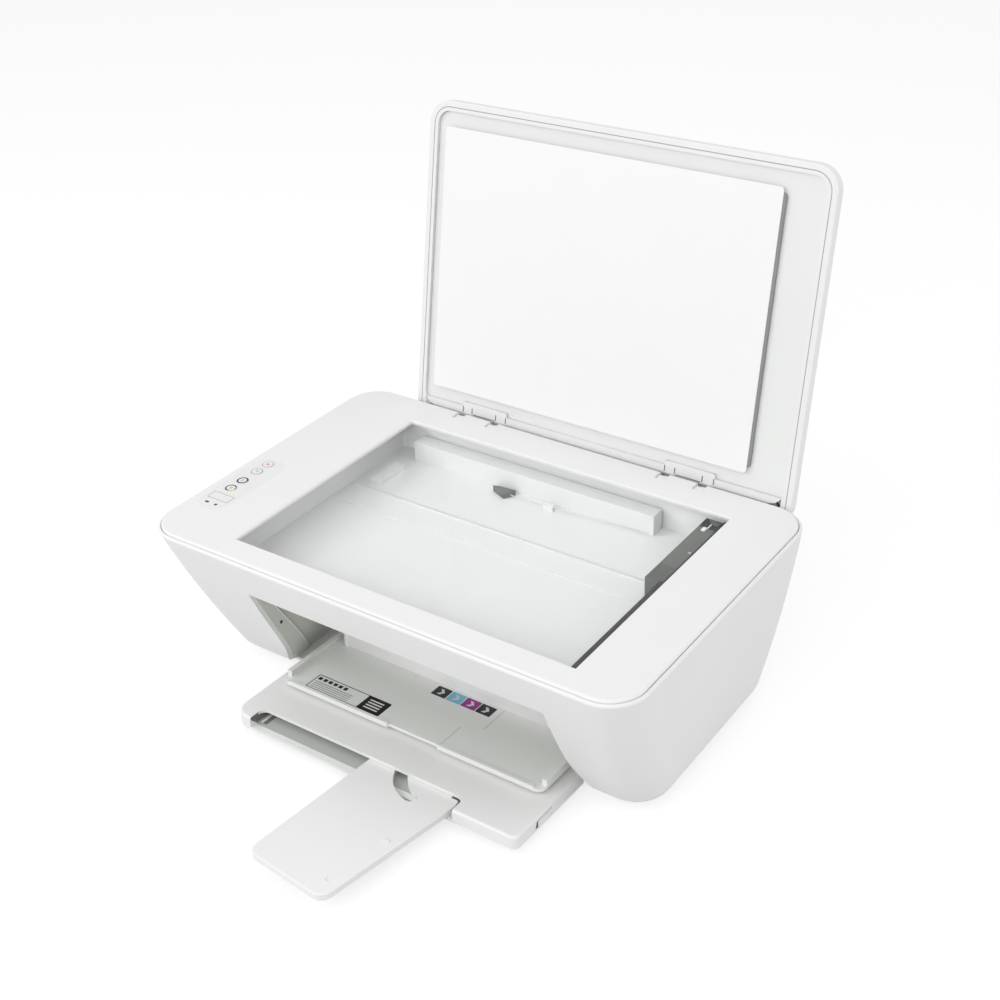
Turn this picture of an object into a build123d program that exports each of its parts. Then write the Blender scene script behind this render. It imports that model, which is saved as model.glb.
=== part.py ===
import os
from math import asin, atan2, cos, degrees, pi, radians, sin, sqrt, tan

from build123d import *

# Inkjet printer with a flatbed scanner on top. X runs across the front, Y to the rear and Z up
# from the table. Lengths are in millimetres and angles in degrees.

# Places that everything else is measured from
glass_x = 11.5
glass_y = 30.73
path_x = 9.5
deck_top = 141.0

# Case
case_width = 425.0
case_depth = 277.0
case_top = 139.0
case_floor = 3.0
case_wall = 2.5
case_corner = 30.0
case_bottom_round = 18.0
case_rim_round = 2.0
case_front_gap = 132.5
waist_height = 76.0
waist_side = 5.0
waist_front = 26.0
waist_rear = 14.0
base_side = 13.5
base_front = 62.0
base_rear = 40.0
ledge_width = 3.0
ledge_height = 2.5
ledge_bite = 0.5
case_y = glass_y - case_front_gap + case_depth / 2
case_front_y = case_y - case_depth / 2
case_rear_y = case_y + case_depth / 2
floor_top = case_floor + case_wall

# Bay in the front of the case
bay_half = 131.0
bay_top = 102.0
bay_flare_start = 51.0
bay_flare_end = 14.0
bay_flare_radius = 80.0
bay_floor_setback = 64.0
liner_setback = 10.0
cheek_hole_setback = 89.5
cheek_hole_z = 60.7
cheek_hole_radius = 1.6
cheek_step = 1.6
crease_setback = 54.0
crease_z = 12.4
crease_lean = 31.0
bay_floor_y = glass_y - bay_floor_setback
liner_rear_y = glass_y - liner_setback
liner_wall = 2.2
liner_gap = 0.15
slip = 0.05
seat_gap = 0.3

# Scanner deck, glass and tub
deck_thick = 3.0
deck_gap = 0.6
deck_edge_round = 2.0
window_width = 297.0
window_depth = 215.0
window_chamfer = 1.0
glass_thick = 2.4
glass_lap = 6.0
glass_bond = 0.1
tub_width = 334.0
tub_front_gap = 18.5
tub_rear_gap = 26.5
tub_wall = 2.0
tub_corner = 6.0
tub_bottom = 106.0
tub_ear = 7.0
tub_ear_thick = 2.5
tub_ear_top = 121.0
ear_spread = 100.0
post_radius = 3.0
screw_radius = 1.25
screw_length = 10.0
screw_head_radius = 3.0
screw_head = 1.8
shelf_past_pivot = 1.0
stop_left = 150.0
stop_front = 50.0
stop_width = 10.0
stop_length = 33.0
stop_height = 5.0
deck_bottom = deck_top - deck_thick
glass_top = deck_bottom - glass_bond
glass_bottom = glass_top - glass_thick
tub_top = glass_bottom - glass_bond
tub_floor = tub_bottom + tub_wall
tub_depth = case_depth - tub_front_gap - tub_rear_gap
tub_y = case_y + (tub_front_gap - tub_rear_gap) / 2

# Scan head and its rail
rail_shift_y = 36.0
rail_width = 16.0
rail_base = 1.5
rail_height = 6.0
rail_ridge = 3.0
rail_margin = 4.0
rack_pitch = 5.0
rack_tooth = 2.4
head_reach = 111.0
head_bar_left = 142.0
head_bar_right = 162.0
head_wide_left = 127.5
head_wide_front = 18.0
head_low_rear = 94.0
head_bottom = 114.3
head_step = 127.5
head_top = 133.0
sensor_width = 12.0
sensor_margin = 3.0
sensor_thick = 1.8
sensor_sink = 1.0
head_wide_drop = 1.5
head_chamfer = 0.8
wedge_shift_x = -58.0
wedge_shift_y = 91.0
wedge_length = 21.0
wedge_shoulder = 15.75
wedge_nose = 2.0
wedge_hollow = 2.0
wire_bite = 4.0
wedge_rear = 5.0
wedge_front = 5.0
wedge_height = 5.0
wire_radius = 0.7
wire_length = 44.0
post_shift_x = -6.0
post_length = 9.0
post_width = 4.0
rear_box_front = 100.0
rear_box_rear = 113.0
rear_box_left = 142.0
rear_box_right = 88.0
rear_box_top = 125.5

# Control panel
panel_inset = 23.5
panel_shift_y = -45.0
panel_width = 27.0
panel_length = 84.0
overlay_thick = 0.8
overlay_gap = 0.1
button_shift_x = -2.5
button_shifts_y = (-55.0, -41.6, -25.0, -11.8)
button_names = ("color_copy_button", "black_copy_button", "link_button", "cancel_button")
button_radius = 4.6
button_flange = 1.0
button_flange_thick = 1.2
button_proud = 0.4
button_travel = 0.7
button_clearance = 0.25
display_width = 21.0
display_depth = 9.5
display_shift_y = -69.0
light_radius = 0.9
light_shift_y = -79.7
light_spacing = 9.0
board_thick = 1.6
board_drop = 6.5
board_margin = 0.5
switch_size = 5.0
switch_cap = 1.2
button_edge = 0.6
display_corner = 1.2

# Scanner lid, open in the photographed position
lid_width = 353.0
lid_shift_x = 2.5
lid_reach = 263.5
lid_tail = 10.5
lid_thick = 12.5
lid_corner = 19.0
lid_edge_round = 5.0
lid_rim = 8.0
lid_rear_rim = 7.5
lid_lip_round = 1.0
lid_skin = 2.2
lid_lean = 10.0
lid_lift = 10.8
pivot_setback = 8.5
pivot_drop = 9.5
liner_recess = 3.0
liner_thick = 2.0
liner_skirt = 2.0
pad_width = 296.0
pad_length = 218.0
pad_corner = 3.0
pad_shift_x = -9.3
pad_reach = 134.5
pad_sheet_thick = 0.8
pad_foam_thick = 2.8
pad_foam_margin = 4.0

# Lid hinges
hinge_shift_x = -6.0
hinge_spread = 97.5
hinge_notch = 46.0
hinge_block_width = 24.0
hinge_tab_width = 8.0
hinge_gap = 0.4
hinge_boss = 5.0
hinge_pin_radius = 2.0
hinge_notch_front = 8.5

# Output tray and its swinging extender
tray_width = 259.0
tray_slope = 2.5
tray_rear = 50.0
tray_reach = 152.0
tray_height = 12.2
tray_thick = 10.6
tray_corner = 14.0
tray_small_corner = 5.0
tray_rear_corner = 2.0
tray_top_plate = 2.6
tray_pocket_deep = 5.8
tray_lip = 15.0
tray_slot_left = 159.0
tray_slot_right = 29.0
tray_slot_round = 6.0
tray_pocket_right = 33.0
tray_pocket_rear = 18.0
tray_clear = 1.6
tray_pad_width = 12.0
tray_pad_length = 5.0
tray_pad_spread = 150.0
tray_edge_round = 2.0
arm_x = 45.0
arm_setback = 124.4
arm_tip_width = 72.4
arm_taper = 2.4
arm_shift = -13.4
arm_length = 140.0
arm_shoulder = 16.0
arm_tail = 20.0
arm_tail_left = 24.0
arm_tail_right = 16.0
arm_thick = 5.0
arm_pivot_radius = 5.0
arm_swing = 6.0
arm_gap = 0.4
arm_tip_round = 9.0
arm_shoulder_round = 8.0
arm_edge_round = 0.8
arm_slot_radius = 29.6
arm_slot_width = 10.5
arm_slot_from = -100.0
arm_slot_to = -5.0
arm_stop_radius = 3.5
arm_stop_angle = 173.0

# Cartridge door, lowered over the tray
door_axis_setback = 14.0
door_axis_z = 13.0
door_slope = 2.5
door_width = 240.0
door_start = 21.0
door_reach = 92.0
door_thick = 2.6
door_rail_width = 4.0
door_rail_height = 5.0
door_corner = 7.0
door_lip_height = 1.4
door_lip_width = 2.5
door_notch_left = -17.0
door_notch_right = 29.0
door_notch_deep = 2.0
door_boss = 4.6
door_pin_radius = 2.5
door_rest_gap = 0.3
door_rest_width = 6.0
door_notch_round = 0.5

# Print engine
plate_left_inset = 37.5
plate_right_inset = 34.5
plate_thick = 3.0
plate_front = -12.0
plate_rear = 81.0
plate_top = 92.0
plate_nose = 36.0
plate_slant = 50.0
roller_z = 18.0
feed_shift_y = 46.0
feed_radius = 6.5
output_radius = 6.0
output_rings = 6
ring_width = 12.0
shaft_radius = 3.0
paper_half = 108.0
paper_gap = 0.15
gear_module = 1.0
gear_width = 6.0
gear_gap = 1.0
gear_bore = 2.5
feed_teeth = 22
idler_teeth = 32
output_teeth = 16
pinion_teeth = 10
pinion_angle = 25.0
idler_z = 24.0
tooth_share = 0.38
tooth_slope = 20.0
tooth_tip = 0.8
tooth_root = 1.25
axle_radius = 1.5
pinch_radius = 4.0
pinch_length = 30.0
pinch_count = 4
star_radius = 3.2
star_length = 2.0
star_count = 6
star_points = 10
finger_thick = 2.5
finger_gap = 0.4
pinch_bar_front = 48.0
pinch_bar_rear = 58.0
pinch_bar_bottom = 35.5
star_bar_front = -9.5
star_bar_rear = -2.0
star_bar_bottom = 33.0
bar_thick = 4.0
rod_shift_y = 60.0
rod_z = 62.0
rod_radius = 4.0
carriage_width = 92.0
carriage_park = 2.0
carriage_front = 2.0
carriage_nose = 36.0
carriage_heel = 40.0
carriage_rear = 70.0
carriage_bottom = 28.0
carriage_step = 44.0
carriage_top = 92.0
carriage_wall = 3.0
carriage_back = 20.0
cartridge_grip = 4.0
cartridge_drop = 6.0
grip_low = 60.0
belt_shift_y = 76.2
belt_z = 80.0
belt_width = 6.0
belt_thick = 1.2
pulley_radius = 6.0
pulley_gap = 0.3
pulley_flange = 2.0
flange_thick = 0.8
pulley_left_inset = 17.0
pulley_right_inset = 16.0
clamp_width = 20.0
clamp_jaw = 4.0
beam_thick = 1.6
beam_height = 28.0
motor_radius = 13.0
motor_length = 24.0
motor_shaft = 1.6
motor_bore = 18.0
feed_motor_radius = 11.0
feed_motor_length = 14.0
feed_motor_bore = 10.5
platen_front = 8.0
platen_rear = 37.0
platen_top = 22.5
platen_wall = 2.0
platen_rib = 1.0
platen_ribs = 12
station_gap = 6.5
station_inset = 6.0
station_front = 6.0
station_rear = 38.0
station_top = 24.0
station_wall = 2.0
cap_gap = 4.0
cap_margin = 3.0
cap_length = 18.0
cap_height = 2.5

# Rear paper feed
feed_box_width = 252.0
feed_box_rear = 167.0
feed_box_top = 116.0
feed_box_bottom = 34.0
feed_box_waist = 84.0
feed_box_foot = 150.0
feed_box_wall = 2.2
feed_door_margin = 1.5
feed_door_bottom = 40.0
slot_front = 146.0
chute_start_y = 64.0
chute_start_z = 26.0
chute_slope = 41.6
chute_thick = 2.2
chute_leg_spread = 160.0
chute_leg_thick = 3.0
chute_leg_rear = 88.0
pick_radius = 14.0
pick_width = 40.0
pick_along = 60.0
cheek_half = 12.0
cheek_height = 21.0
support_width = 236.0
support_length = 70.0
support_thick = 3.0
support_gap = 1.2
support_axis_z = 112.0
support_pin_radius = 1.2
support_ear = 3.0
ear_height = 4.0
guide_along = 86.0
guide_length = 26.0
guide_height = 13.0
guide_thick = 2.2
guide_foot = 14.0
guide_shift_x = -96.0

# Electronics
inlet_x = -148.0
inlet_width = 20.0
inlet_height = 14.0
usb_x = 158.0
usb_width = 12.0
usb_height = 11.0
port_z = 38.0
port_shift_y = 98.0
port_length = 18.5
port_cut = 60.0
socket_wall = 1.5
contact_radius = 1.2
main_board_width = 44.0
power_board_width = 56.0
board_height = 64.0

# Feet
foot_radius = 8.0
foot_taper = 0.8
foot_margin = 5.0
foot_front_shift = -42.0
foot_rear_shift = 76.0

# Places worked out from the sizes above
pivot_y = case_rear_y - pivot_setback
pivot_z = deck_top - pivot_drop
lid_x = glass_x + lid_shift_x
hinge_xs = (glass_x + hinge_shift_x - hinge_spread, glass_x + hinge_shift_x + hinge_spread)
hinge_tab_shift = hinge_block_width / 2 + hinge_gap + hinge_tab_width / 2
panel_x = panel_inset - case_width / 2
panel_y = glass_y + panel_shift_y
board_top = deck_bottom - board_drop
display_y = glass_y + display_shift_y
button_x = panel_x + button_shift_x
button_bottom = deck_bottom - seat_gap - button_flange_thick
switch_height = button_bottom - button_travel - overlay_gap - board_top
plate_left = plate_left_inset - case_width / 2
plate_right = case_width / 2 - plate_right_inset
carriage_x = plate_right - carriage_park - carriage_width / 2
pulley_left_x = plate_left + pulley_left_inset
pulley_right_x = plate_right - pulley_right_inset
station_left = path_x + paper_half + station_gap
station_right = plate_right - station_inset
cap_width = (station_right - station_left - cap_gap - 2 * cap_margin) / 2
foot_x = case_width / 2 - base_side - case_bottom_round - foot_radius - foot_margin
rail_length = tub_width - 2 * (tub_wall + rail_margin)
head_x = glass_x + (head_bar_left + head_bar_right) / 2
wedge_x = glass_x + wedge_shift_x
wedge_y = glass_y + wedge_shift_y
foot_front_y = glass_y + foot_front_shift
foot_rear_y = glass_y + foot_rear_shift
port_y = glass_y + port_shift_y
low_corner = (Align.CENTER, Align.MIN, Align.MIN)
min_corner = (Align.MIN, Align.MIN, Align.MIN)
on_floor = (Align.CENTER, Align.CENTER, Align.MIN)
hung = (Align.CENTER, Align.CENTER, Align.MAX)
side_on = (Align.CENTER, Align.MIN, Align.CENTER)

feed_centre = (glass_y + feed_shift_y, roller_z)
feed_reach = gear_module * (feed_teeth + idler_teeth) / 2
output_reach = gear_module * (idler_teeth + output_teeth) / 2
idler_drop = idler_z - roller_z
idler_centre = (feed_centre[0] - sqrt(feed_reach**2 - idler_drop**2), idler_z)
output_centre = (idler_centre[0] - sqrt(output_reach**2 - idler_drop**2), roller_z)
pinion_reach = gear_module * (feed_teeth + pinion_teeth) / 2
pinion_centre = (
    feed_centre[0] + pinion_reach * cos(radians(pinion_angle)),
    feed_centre[1] + pinion_reach * sin(radians(pinion_angle)),
)
pinch_centre = (feed_centre[0], roller_z + feed_radius + pinch_radius + paper_gap)
star_centre = (output_centre[0], roller_z + output_radius + star_radius + seat_gap)
rod_centre = (glass_y + rod_shift_y, rod_z)
gear_x = plate_left + gear_gap
shaft_left = plate_left - plate_thick
shaft_length = plate_right - plate_left + 2 * plate_thick
belt_y = glass_y + belt_shift_y
beam_y = glass_y + plate_rear
belt_outer = pulley_radius + pulley_gap + belt_thick
chute_half = feed_box_width / 2 - feed_box_wall - seat_gap
chute_along = (cos(radians(chute_slope)), sin(radians(chute_slope)))
chute_length = (
    feed_box_rear - feed_box_wall - seat_gap - chute_start_y - chute_thick * chute_along[1]
) / chute_along[0]
support_y = glass_y + feed_box_rear + support_gap + support_thick / 2

lid_plane = Plane(
    origin=(lid_x, pivot_y, pivot_z),
    x_dir=(1, 0, 0),
    z_dir=(0, -cos(radians(lid_lean)), sin(radians(lid_lean))),
)
tray_plane = Plane(
    origin=(path_x, glass_y - tray_rear, tray_height),
    x_dir=(1, 0, 0),
    z_dir=(0, sin(radians(tray_slope)), cos(radians(tray_slope))),
)
arm_local_x = glass_x + arm_x - path_x
arm_local_y = -(arm_setback - tray_rear) / cos(radians(tray_slope))
arm_plane = Plane(
    tray_plane.offset(-tray_top_plate - arm_gap).from_local_coords((arm_local_x, arm_local_y, 0)),
    x_dir=(cos(radians(arm_swing)), -sin(radians(arm_swing)) * cos(radians(tray_slope)),
           sin(radians(arm_swing)) * sin(radians(tray_slope))),
    z_dir=tray_plane.z_dir,
)
door_axis_y = glass_y - door_axis_setback
door_plane = Plane(
    origin=(path_x, door_axis_y, door_axis_z),
    x_dir=(1, 0, 0),
    z_dir=(0, sin(radians(door_slope)), cos(radians(door_slope))),
)

door_lift = (tray_rear - door_axis_setback) * sin(radians(tray_slope)) + (
    door_axis_z - tray_height
) * cos(radians(tray_slope))
pin_reach = bay_half + liner_wall / 2 + bay_flare_radius * (
    1 - cos(asin((bay_flare_start - door_axis_z) / bay_flare_radius))
)
chute_plane = Plane(
    origin=(path_x, glass_y + chute_start_y, chute_start_z),
    x_dir=(1, 0, 0),
    z_dir=(0, -chute_along[1], chute_along[0]),
)
lid_axis = Axis((0, 0, 0), lid_plane.z_dir)
tray_axis = Axis((0, 0, 0), tray_plane.z_dir)

case_sections = (
    (case_top, 0.0, 0.0, 0.0),
    (waist_height, waist_side, waist_front, waist_rear),
    (case_floor, base_side, base_front, base_rear),
)
finished = []


def keep(builder, name):
    builder.part.label = name
    finished.append(builder.part)


def case_solid(inset):
    with BuildPart() as body:
        for level, side, front, rear in case_sections:
            with BuildSketch(Plane.XY.offset(level)):
                with Locations((0, case_y + (front - rear) / 2)):
                    RectangleRounded(
                        case_width - 2 * (side + inset),
                        case_depth - front - rear - 2 * inset,
                        case_corner - inset,
                    )
        loft()
    return body.part


def case_cavity(inset):
    with BuildPart() as cavity:
        add(case_solid(inset))
        split(bisect_by=Plane.XY.offset(case_floor + inset), keep=Keep.TOP)
        fillet(cavity.faces().sort_by(Axis.Z)[0].edges(), case_bottom_round - inset)
    return cavity.part


def bay_tunnel(grow, front_y, rear_y):
    half = bay_half + grow
    turn = degrees(asin((bay_flare_start - bay_flare_end) / bay_flare_radius))
    flare = bay_flare_radius * (1 - cos(radians(turn)))
    drop = bay_flare_radius * sin(radians(turn))
    low = bay_flare_start - drop
    foot = flare + (low + case_wall) * tan(radians(turn))
    with BuildPart() as tunnel:
        with BuildSketch(Plane.XZ.offset(-rear_y)):
            with BuildLine():
                right = Line((path_x, bay_top + grow), (path_x + half, bay_top + grow))
                side = Line(right @ 1, (path_x + half, bay_flare_start))
                arc = TangentArc(side @ 1, (path_x + half + flare, low), tangent=(0, -1))
                skirt = Line(arc @ 1, (path_x + half + foot, -case_wall))
                Line(skirt @ 1, (path_x, -case_wall))
                mirror(about=Plane.YZ.offset(path_x))
            make_face()
        extrude(amount=rear_y - front_y)
    return tunnel.part


def deck_outline(inset, mode=Mode.ADD):
    RectangleRounded(
        case_width - 2 * inset, case_depth - 2 * inset, case_corner - inset, mode=mode
    )


def panel_openings(room, mode=Mode.ADD):
    with Locations([(button_x, glass_y + shift_y) for shift_y in button_shifts_y]):
        Circle(button_radius + room, mode=mode)
    with Locations((panel_x, display_y)):
        Rectangle(display_width + 2 * overlay_gap, display_depth + 2 * overlay_gap, mode=mode)
    with Locations((panel_x, glass_y + light_shift_y)):
        with GridLocations(light_spacing, 0, 2, 1):
            Circle(light_radius + overlay_gap, mode=mode)


def lid_pocket(gap):
    length = lid_reach - lid_rim - lid_rear_rim - 2 * gap
    with Locations((0, lid_rear_rim + gap + length / 2)):
        RectangleRounded(lid_width - 2 * (lid_rim + gap), length, lid_corner - lid_rim - gap)


def feed_box_points(inset):
    return (
        (case_y, feed_box_top - inset),
        (glass_y + feed_box_rear - inset, feed_box_top - inset),
        (glass_y + feed_box_rear - inset, feed_box_waist),
        (glass_y + feed_box_foot - inset, feed_box_bottom + inset),
        (case_y, feed_box_bottom + inset),
    )


def mesh_phase(angle, phase, teeth, other_teeth):
    along = (angle - phase) * teeth / 360 % 1
    return angle + 180 - (0.5 - along) * 360 / other_teeth


def gear_outline(teeth, centre, phase):
    root = gear_module * (teeth / 2 - tooth_root)
    depth = gear_module * (tooth_root + tooth_tip)
    base = gear_module * (pi * tooth_share + 2 * tooth_root * tan(radians(tooth_slope)))
    with Locations(centre):
        Circle(root)
        with PolarLocations(root - tooth_share, teeth, start_angle=phase):
            Trapezoid(
                base,
                depth + tooth_share,
                90 - tooth_slope,
                rotation=-90,
                align=(Align.CENTER, Align.MIN),
            )


# Lower case: a tub that tapers to its foot, open on top and cut by the front bay
with BuildPart() as lower_case:
    add(case_solid(0))
    fillet(lower_case.faces().sort_by(Axis.Z)[0].edges(), case_bottom_round)
    fillet(lower_case.faces().sort_by(Axis.Z)[-1].edges(), case_rim_round)
    add(case_cavity(case_wall), mode=Mode.SUBTRACT)
    with BuildSketch(Plane.XY.offset(deck_bottom - ledge_height)):
        with Locations((0, case_y)):
            deck_outline(case_wall - ledge_bite)
            deck_outline(case_wall + ledge_width, Mode.SUBTRACT)
    extrude(amount=ledge_height)
    add(bay_tunnel(0, case_front_y - case_wall, bay_floor_y), mode=Mode.SUBTRACT)
    for hinge_x in hinge_xs:
        with Locations((hinge_x, pivot_y - hinge_notch_front, tub_ear_top)):
            Box(hinge_notch, pivot_setback * 4, case_top, align=low_corner, mode=Mode.SUBTRACT)
    with Locations((path_x, case_y, feed_door_bottom)):
        Box(
            feed_box_width - 2 * feed_door_margin,
            case_depth,
            feed_box_top - feed_box_wall - feed_door_bottom,
            align=low_corner,
            mode=Mode.SUBTRACT,
        )
    with Locations((usb_x, port_y, port_z)):
        Box(usb_width + 2 * seat_gap, port_cut, usb_height + 2 * seat_gap, mode=Mode.SUBTRACT)
    with Locations((inlet_x, port_y, port_z)):
        Box(inlet_width + 2 * seat_gap, port_cut, inlet_height + 2 * seat_gap, mode=Mode.SUBTRACT)
keep(lower_case, "lower_case")

# Feet under the case
with BuildPart() as feet:
    with Locations((0, (foot_front_y + foot_rear_y) / 2, 0)):
        with GridLocations(2 * foot_x, foot_rear_y - foot_front_y, 2, 2):
            Cone(foot_radius - foot_taper, foot_radius, case_floor, align=on_floor)
keep(feet, "rubber_feet")

# Front of each cheek: a raised band that ends at a leaning crease
with BuildPart() as cheek_bands:
    add(bay_tunnel(0, case_front_y, liner_rear_y))
    add(bay_tunnel(-cheek_step, case_front_y - case_wall, liner_rear_y + case_wall), mode=Mode.SUBTRACT)
    with Locations((path_x, case_y, bay_top)):
        Box(2 * (bay_half - cheek_step), 2 * case_depth, bay_top, mode=Mode.SUBTRACT)
    with BuildSketch(Plane.YZ):
        with Locations((glass_y - crease_setback, crease_z)):
            Rectangle(case_depth, 2 * case_top, rotation=crease_lean, align=(Align.MAX, Align.CENTER))
    extrude(amount=case_width, both=True, mode=Mode.INTERSECT)

# Bay liner: side cheeks and ceiling behind the front opening
with BuildPart() as bay_liner:
    add(bay_tunnel(liner_wall, case_front_y, liner_rear_y))
    add(bay_tunnel(0, case_front_y - case_wall, liner_rear_y + case_wall), mode=Mode.SUBTRACT)
    add(cheek_bands.part)
    add(case_cavity(case_wall + liner_gap), mode=Mode.INTERSECT)
    with Locations(Plane.YZ):
        with Locations((door_axis_y, door_axis_z)):
            Cylinder(door_pin_radius + slip, case_width, mode=Mode.SUBTRACT)
        with Locations((glass_y - cheek_hole_setback, cheek_hole_z)):
            Cylinder(cheek_hole_radius, case_width, mode=Mode.SUBTRACT)
keep(bay_liner, "bay_liner")

# Scanner deck: the top frame round the glass
with BuildPart() as scanner_deck:
    with BuildSketch(Plane.XY.offset(deck_bottom)):
        with Locations((0, case_y)):
            deck_outline(case_wall + deck_gap)
    extrude(amount=deck_thick)
    fillet(scanner_deck.faces().sort_by(Axis.Z)[-1].edges(), deck_edge_round)
    with BuildSketch(Plane.XY.offset(deck_bottom)):
        with Locations((glass_x, glass_y)):
            Rectangle(window_width, window_depth)
    extrude(amount=deck_thick, mode=Mode.SUBTRACT)
    chamfer(
        scanner_deck.edges().filter_by_position(Axis.Z, deck_top, deck_top).filter_by(GeomType.LINE)
        .filter_by(lambda e: abs(e.center().X - glass_x) <= window_width / 2
                   and abs(e.center().Y - glass_y) <= window_depth / 2),
        window_chamfer,
    )
    with BuildSketch(Plane.XY.offset(deck_top)):
        with Locations((panel_x, panel_y)):
            SlotOverall(panel_length + 2 * overlay_gap, panel_width + 2 * overlay_gap, rotation=90)
    extrude(amount=-overlay_thick, mode=Mode.SUBTRACT)
    with BuildSketch(Plane.XY.offset(deck_bottom)):
        panel_openings(button_clearance)
    extrude(amount=deck_thick, mode=Mode.SUBTRACT)
    for hinge_x in hinge_xs:
        with Locations((hinge_x, pivot_y - hinge_boss - hinge_gap, deck_bottom)):
            with GridLocations(2 * hinge_tab_shift, 0, 2, 1):
                Box(
                    hinge_tab_width + 2 * hinge_gap,
                    case_depth,
                    deck_thick,
                    align=low_corner,
                    mode=Mode.SUBTRACT,
                )
    with Locations((glass_x, tub_y, tub_ear_top)):
        with GridLocations(tub_width + tub_ear, 2 * ear_spread, 2, 2):
            Cylinder(post_radius, deck_bottom - tub_ear_top, align=on_floor)
            Cylinder(screw_radius + slip, screw_length, align=on_floor, mode=Mode.SUBTRACT)
    with Locations((panel_x, panel_y, board_top)):
        with GridLocations(0, panel_length + 2 * post_radius, 1, 2):
            Cylinder(post_radius, deck_bottom - board_top, align=on_floor)
keep(scanner_deck, "scanner_deck")

# Scanner glass under the deck
with BuildPart() as scanner_glass:
    with Locations((glass_x, glass_y, glass_bottom)):
        Box(window_width + 2 * glass_lap, window_depth + 2 * glass_lap, glass_thick, align=on_floor)
keep(scanner_glass, "scanner_glass")

# Scan tub: open box under the glass, with its moulded box, stop and hinge shelves
with BuildPart() as scan_tub:
    with BuildSketch(Plane.XY.offset(tub_bottom)):
        with Locations((glass_x, tub_y)):
            RectangleRounded(tub_width, tub_depth, tub_corner)
    extrude(amount=tub_top - tub_bottom)
    with BuildSketch(Plane.XY.offset(tub_floor)):
        with Locations((glass_x, tub_y)):
            RectangleRounded(tub_width - 2 * tub_wall, tub_depth - 2 * tub_wall, tub_corner - tub_wall)
    extrude(amount=tub_top - tub_floor, mode=Mode.SUBTRACT)
    with Locations((glass_x - rear_box_left, glass_y + rear_box_front, tub_floor)):
        Box(
            rear_box_left + rear_box_right,
            rear_box_rear - rear_box_front,
            rear_box_top - tub_floor,
            align=(Align.MIN, Align.MIN, Align.MIN),
        )
    with Locations((glass_x - stop_left, glass_y + stop_front, tub_floor)):
        Box(stop_width, stop_length, stop_height, align=(Align.MIN, Align.MIN, Align.MIN))
    with Locations((glass_x, tub_y, tub_ear_top - tub_ear_thick)):
        with GridLocations(tub_width + tub_ear, 2 * ear_spread, 2, 2):
            Box(tub_ear, tub_ear, tub_ear_thick, align=on_floor)
            Cylinder(screw_radius + slip, tub_ear_thick, align=on_floor, mode=Mode.SUBTRACT)
    for hinge_x in hinge_xs:
        with Locations((hinge_x, tub_y + tub_depth / 2, tub_ear_top - tub_ear_thick)):
            Box(
                hinge_notch,
                pivot_y + shelf_past_pivot - tub_y - tub_depth / 2,
                tub_ear_thick,
                align=low_corner,
            )
    with Locations((glass_x + post_shift_x, wedge_y, tub_floor)):
        Box(post_length, post_width, wedge_height, align=(Align.MIN, Align.CENTER, Align.MIN))
        with Locations((0, 0, wedge_height / 2)):
            Cylinder(wire_radius + slip, post_length * 3, rotation=(0, 90, 0), mode=Mode.SUBTRACT)
keep(scan_tub, "scan_tub")

# Scan rail: two ridges with a toothed rack between them
with BuildPart() as scan_rail:
    with Locations((glass_x, glass_y + rail_shift_y, tub_floor)):
        Box(rail_length, rail_width, rail_base, align=on_floor)
        with GridLocations(0, rail_width - rail_ridge, 1, 2):
            Box(rail_length, rail_ridge, rail_height, align=on_floor)
        with Locations((0, rail_ridge, rail_base)):
            with GridLocations(rack_pitch, 0, int(rail_length / rack_pitch) - 1, 1):
                Box(rack_tooth, rack_tooth, rack_tooth, align=on_floor)
keep(scan_rail, "scan_rail")

# Tension arm: a dark wedge with a thin wire that runs to its post
with BuildPart() as tension_arm:
    with BuildSketch(Plane.XY.offset(tub_floor)):
        with BuildLine():
            Polyline(
                (wedge_x, wedge_y + wedge_nose),
                (wedge_x + wedge_length, wedge_y + wedge_rear),
                (wedge_x + wedge_length - wedge_hollow, wedge_y),
                (wedge_x + wedge_shoulder, wedge_y - wedge_front),
                close=True,
            )
        make_face()
    extrude(amount=wedge_height)
    with Locations((wedge_x + wedge_length - wire_bite, wedge_y, tub_floor + wedge_height / 2)):
        Cylinder(
            wire_radius,
            wire_length,
            rotation=(0, 90, 0),
            align=(Align.CENTER, Align.CENTER, Align.MIN),
        )
keep(tension_arm, "tension_arm")

# Scan head: a bar across the bed with a wide drive half at the rear
with BuildPart() as scan_head:
    with Locations((glass_x + head_bar_left, glass_y - head_reach, head_step)):
        Box(
            head_bar_right - head_bar_left,
            2 * head_reach,
            head_top - head_step,
            align=(Align.MIN, Align.MIN, Align.MIN),
        )
    with Locations((glass_x + head_bar_left, glass_y - head_reach, head_bottom)):
        Box(
            head_bar_right - head_bar_left,
            head_reach + head_low_rear,
            head_step - head_bottom,
            align=(Align.MIN, Align.MIN, Align.MIN),
        )
    with Locations((glass_x + head_wide_left, glass_y + head_wide_front, head_bottom)):
        Box(
            head_bar_left - head_wide_left,
            head_low_rear - head_wide_front,
            head_top - head_bottom - head_wide_drop,
            align=(Align.MIN, Align.MIN, Align.MIN),
        )
    with Locations((glass_x + head_wide_left, glass_y + head_low_rear, head_step)):
        Box(
            head_bar_left - head_wide_left,
            head_reach - head_low_rear,
            head_top - head_step - head_wide_drop,
            align=(Align.MIN, Align.MIN, Align.MIN),
        )
    with Locations((head_x, glass_y, head_top)):
        Box(sensor_width, 2 * (head_reach - sensor_margin), 2 * sensor_sink, mode=Mode.SUBTRACT)
    chamfer(scan_head.edges().filter_by(Axis.Y).group_by(Axis.Z)[-1], head_chamfer)
keep(scan_head, "scan_head")

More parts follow.
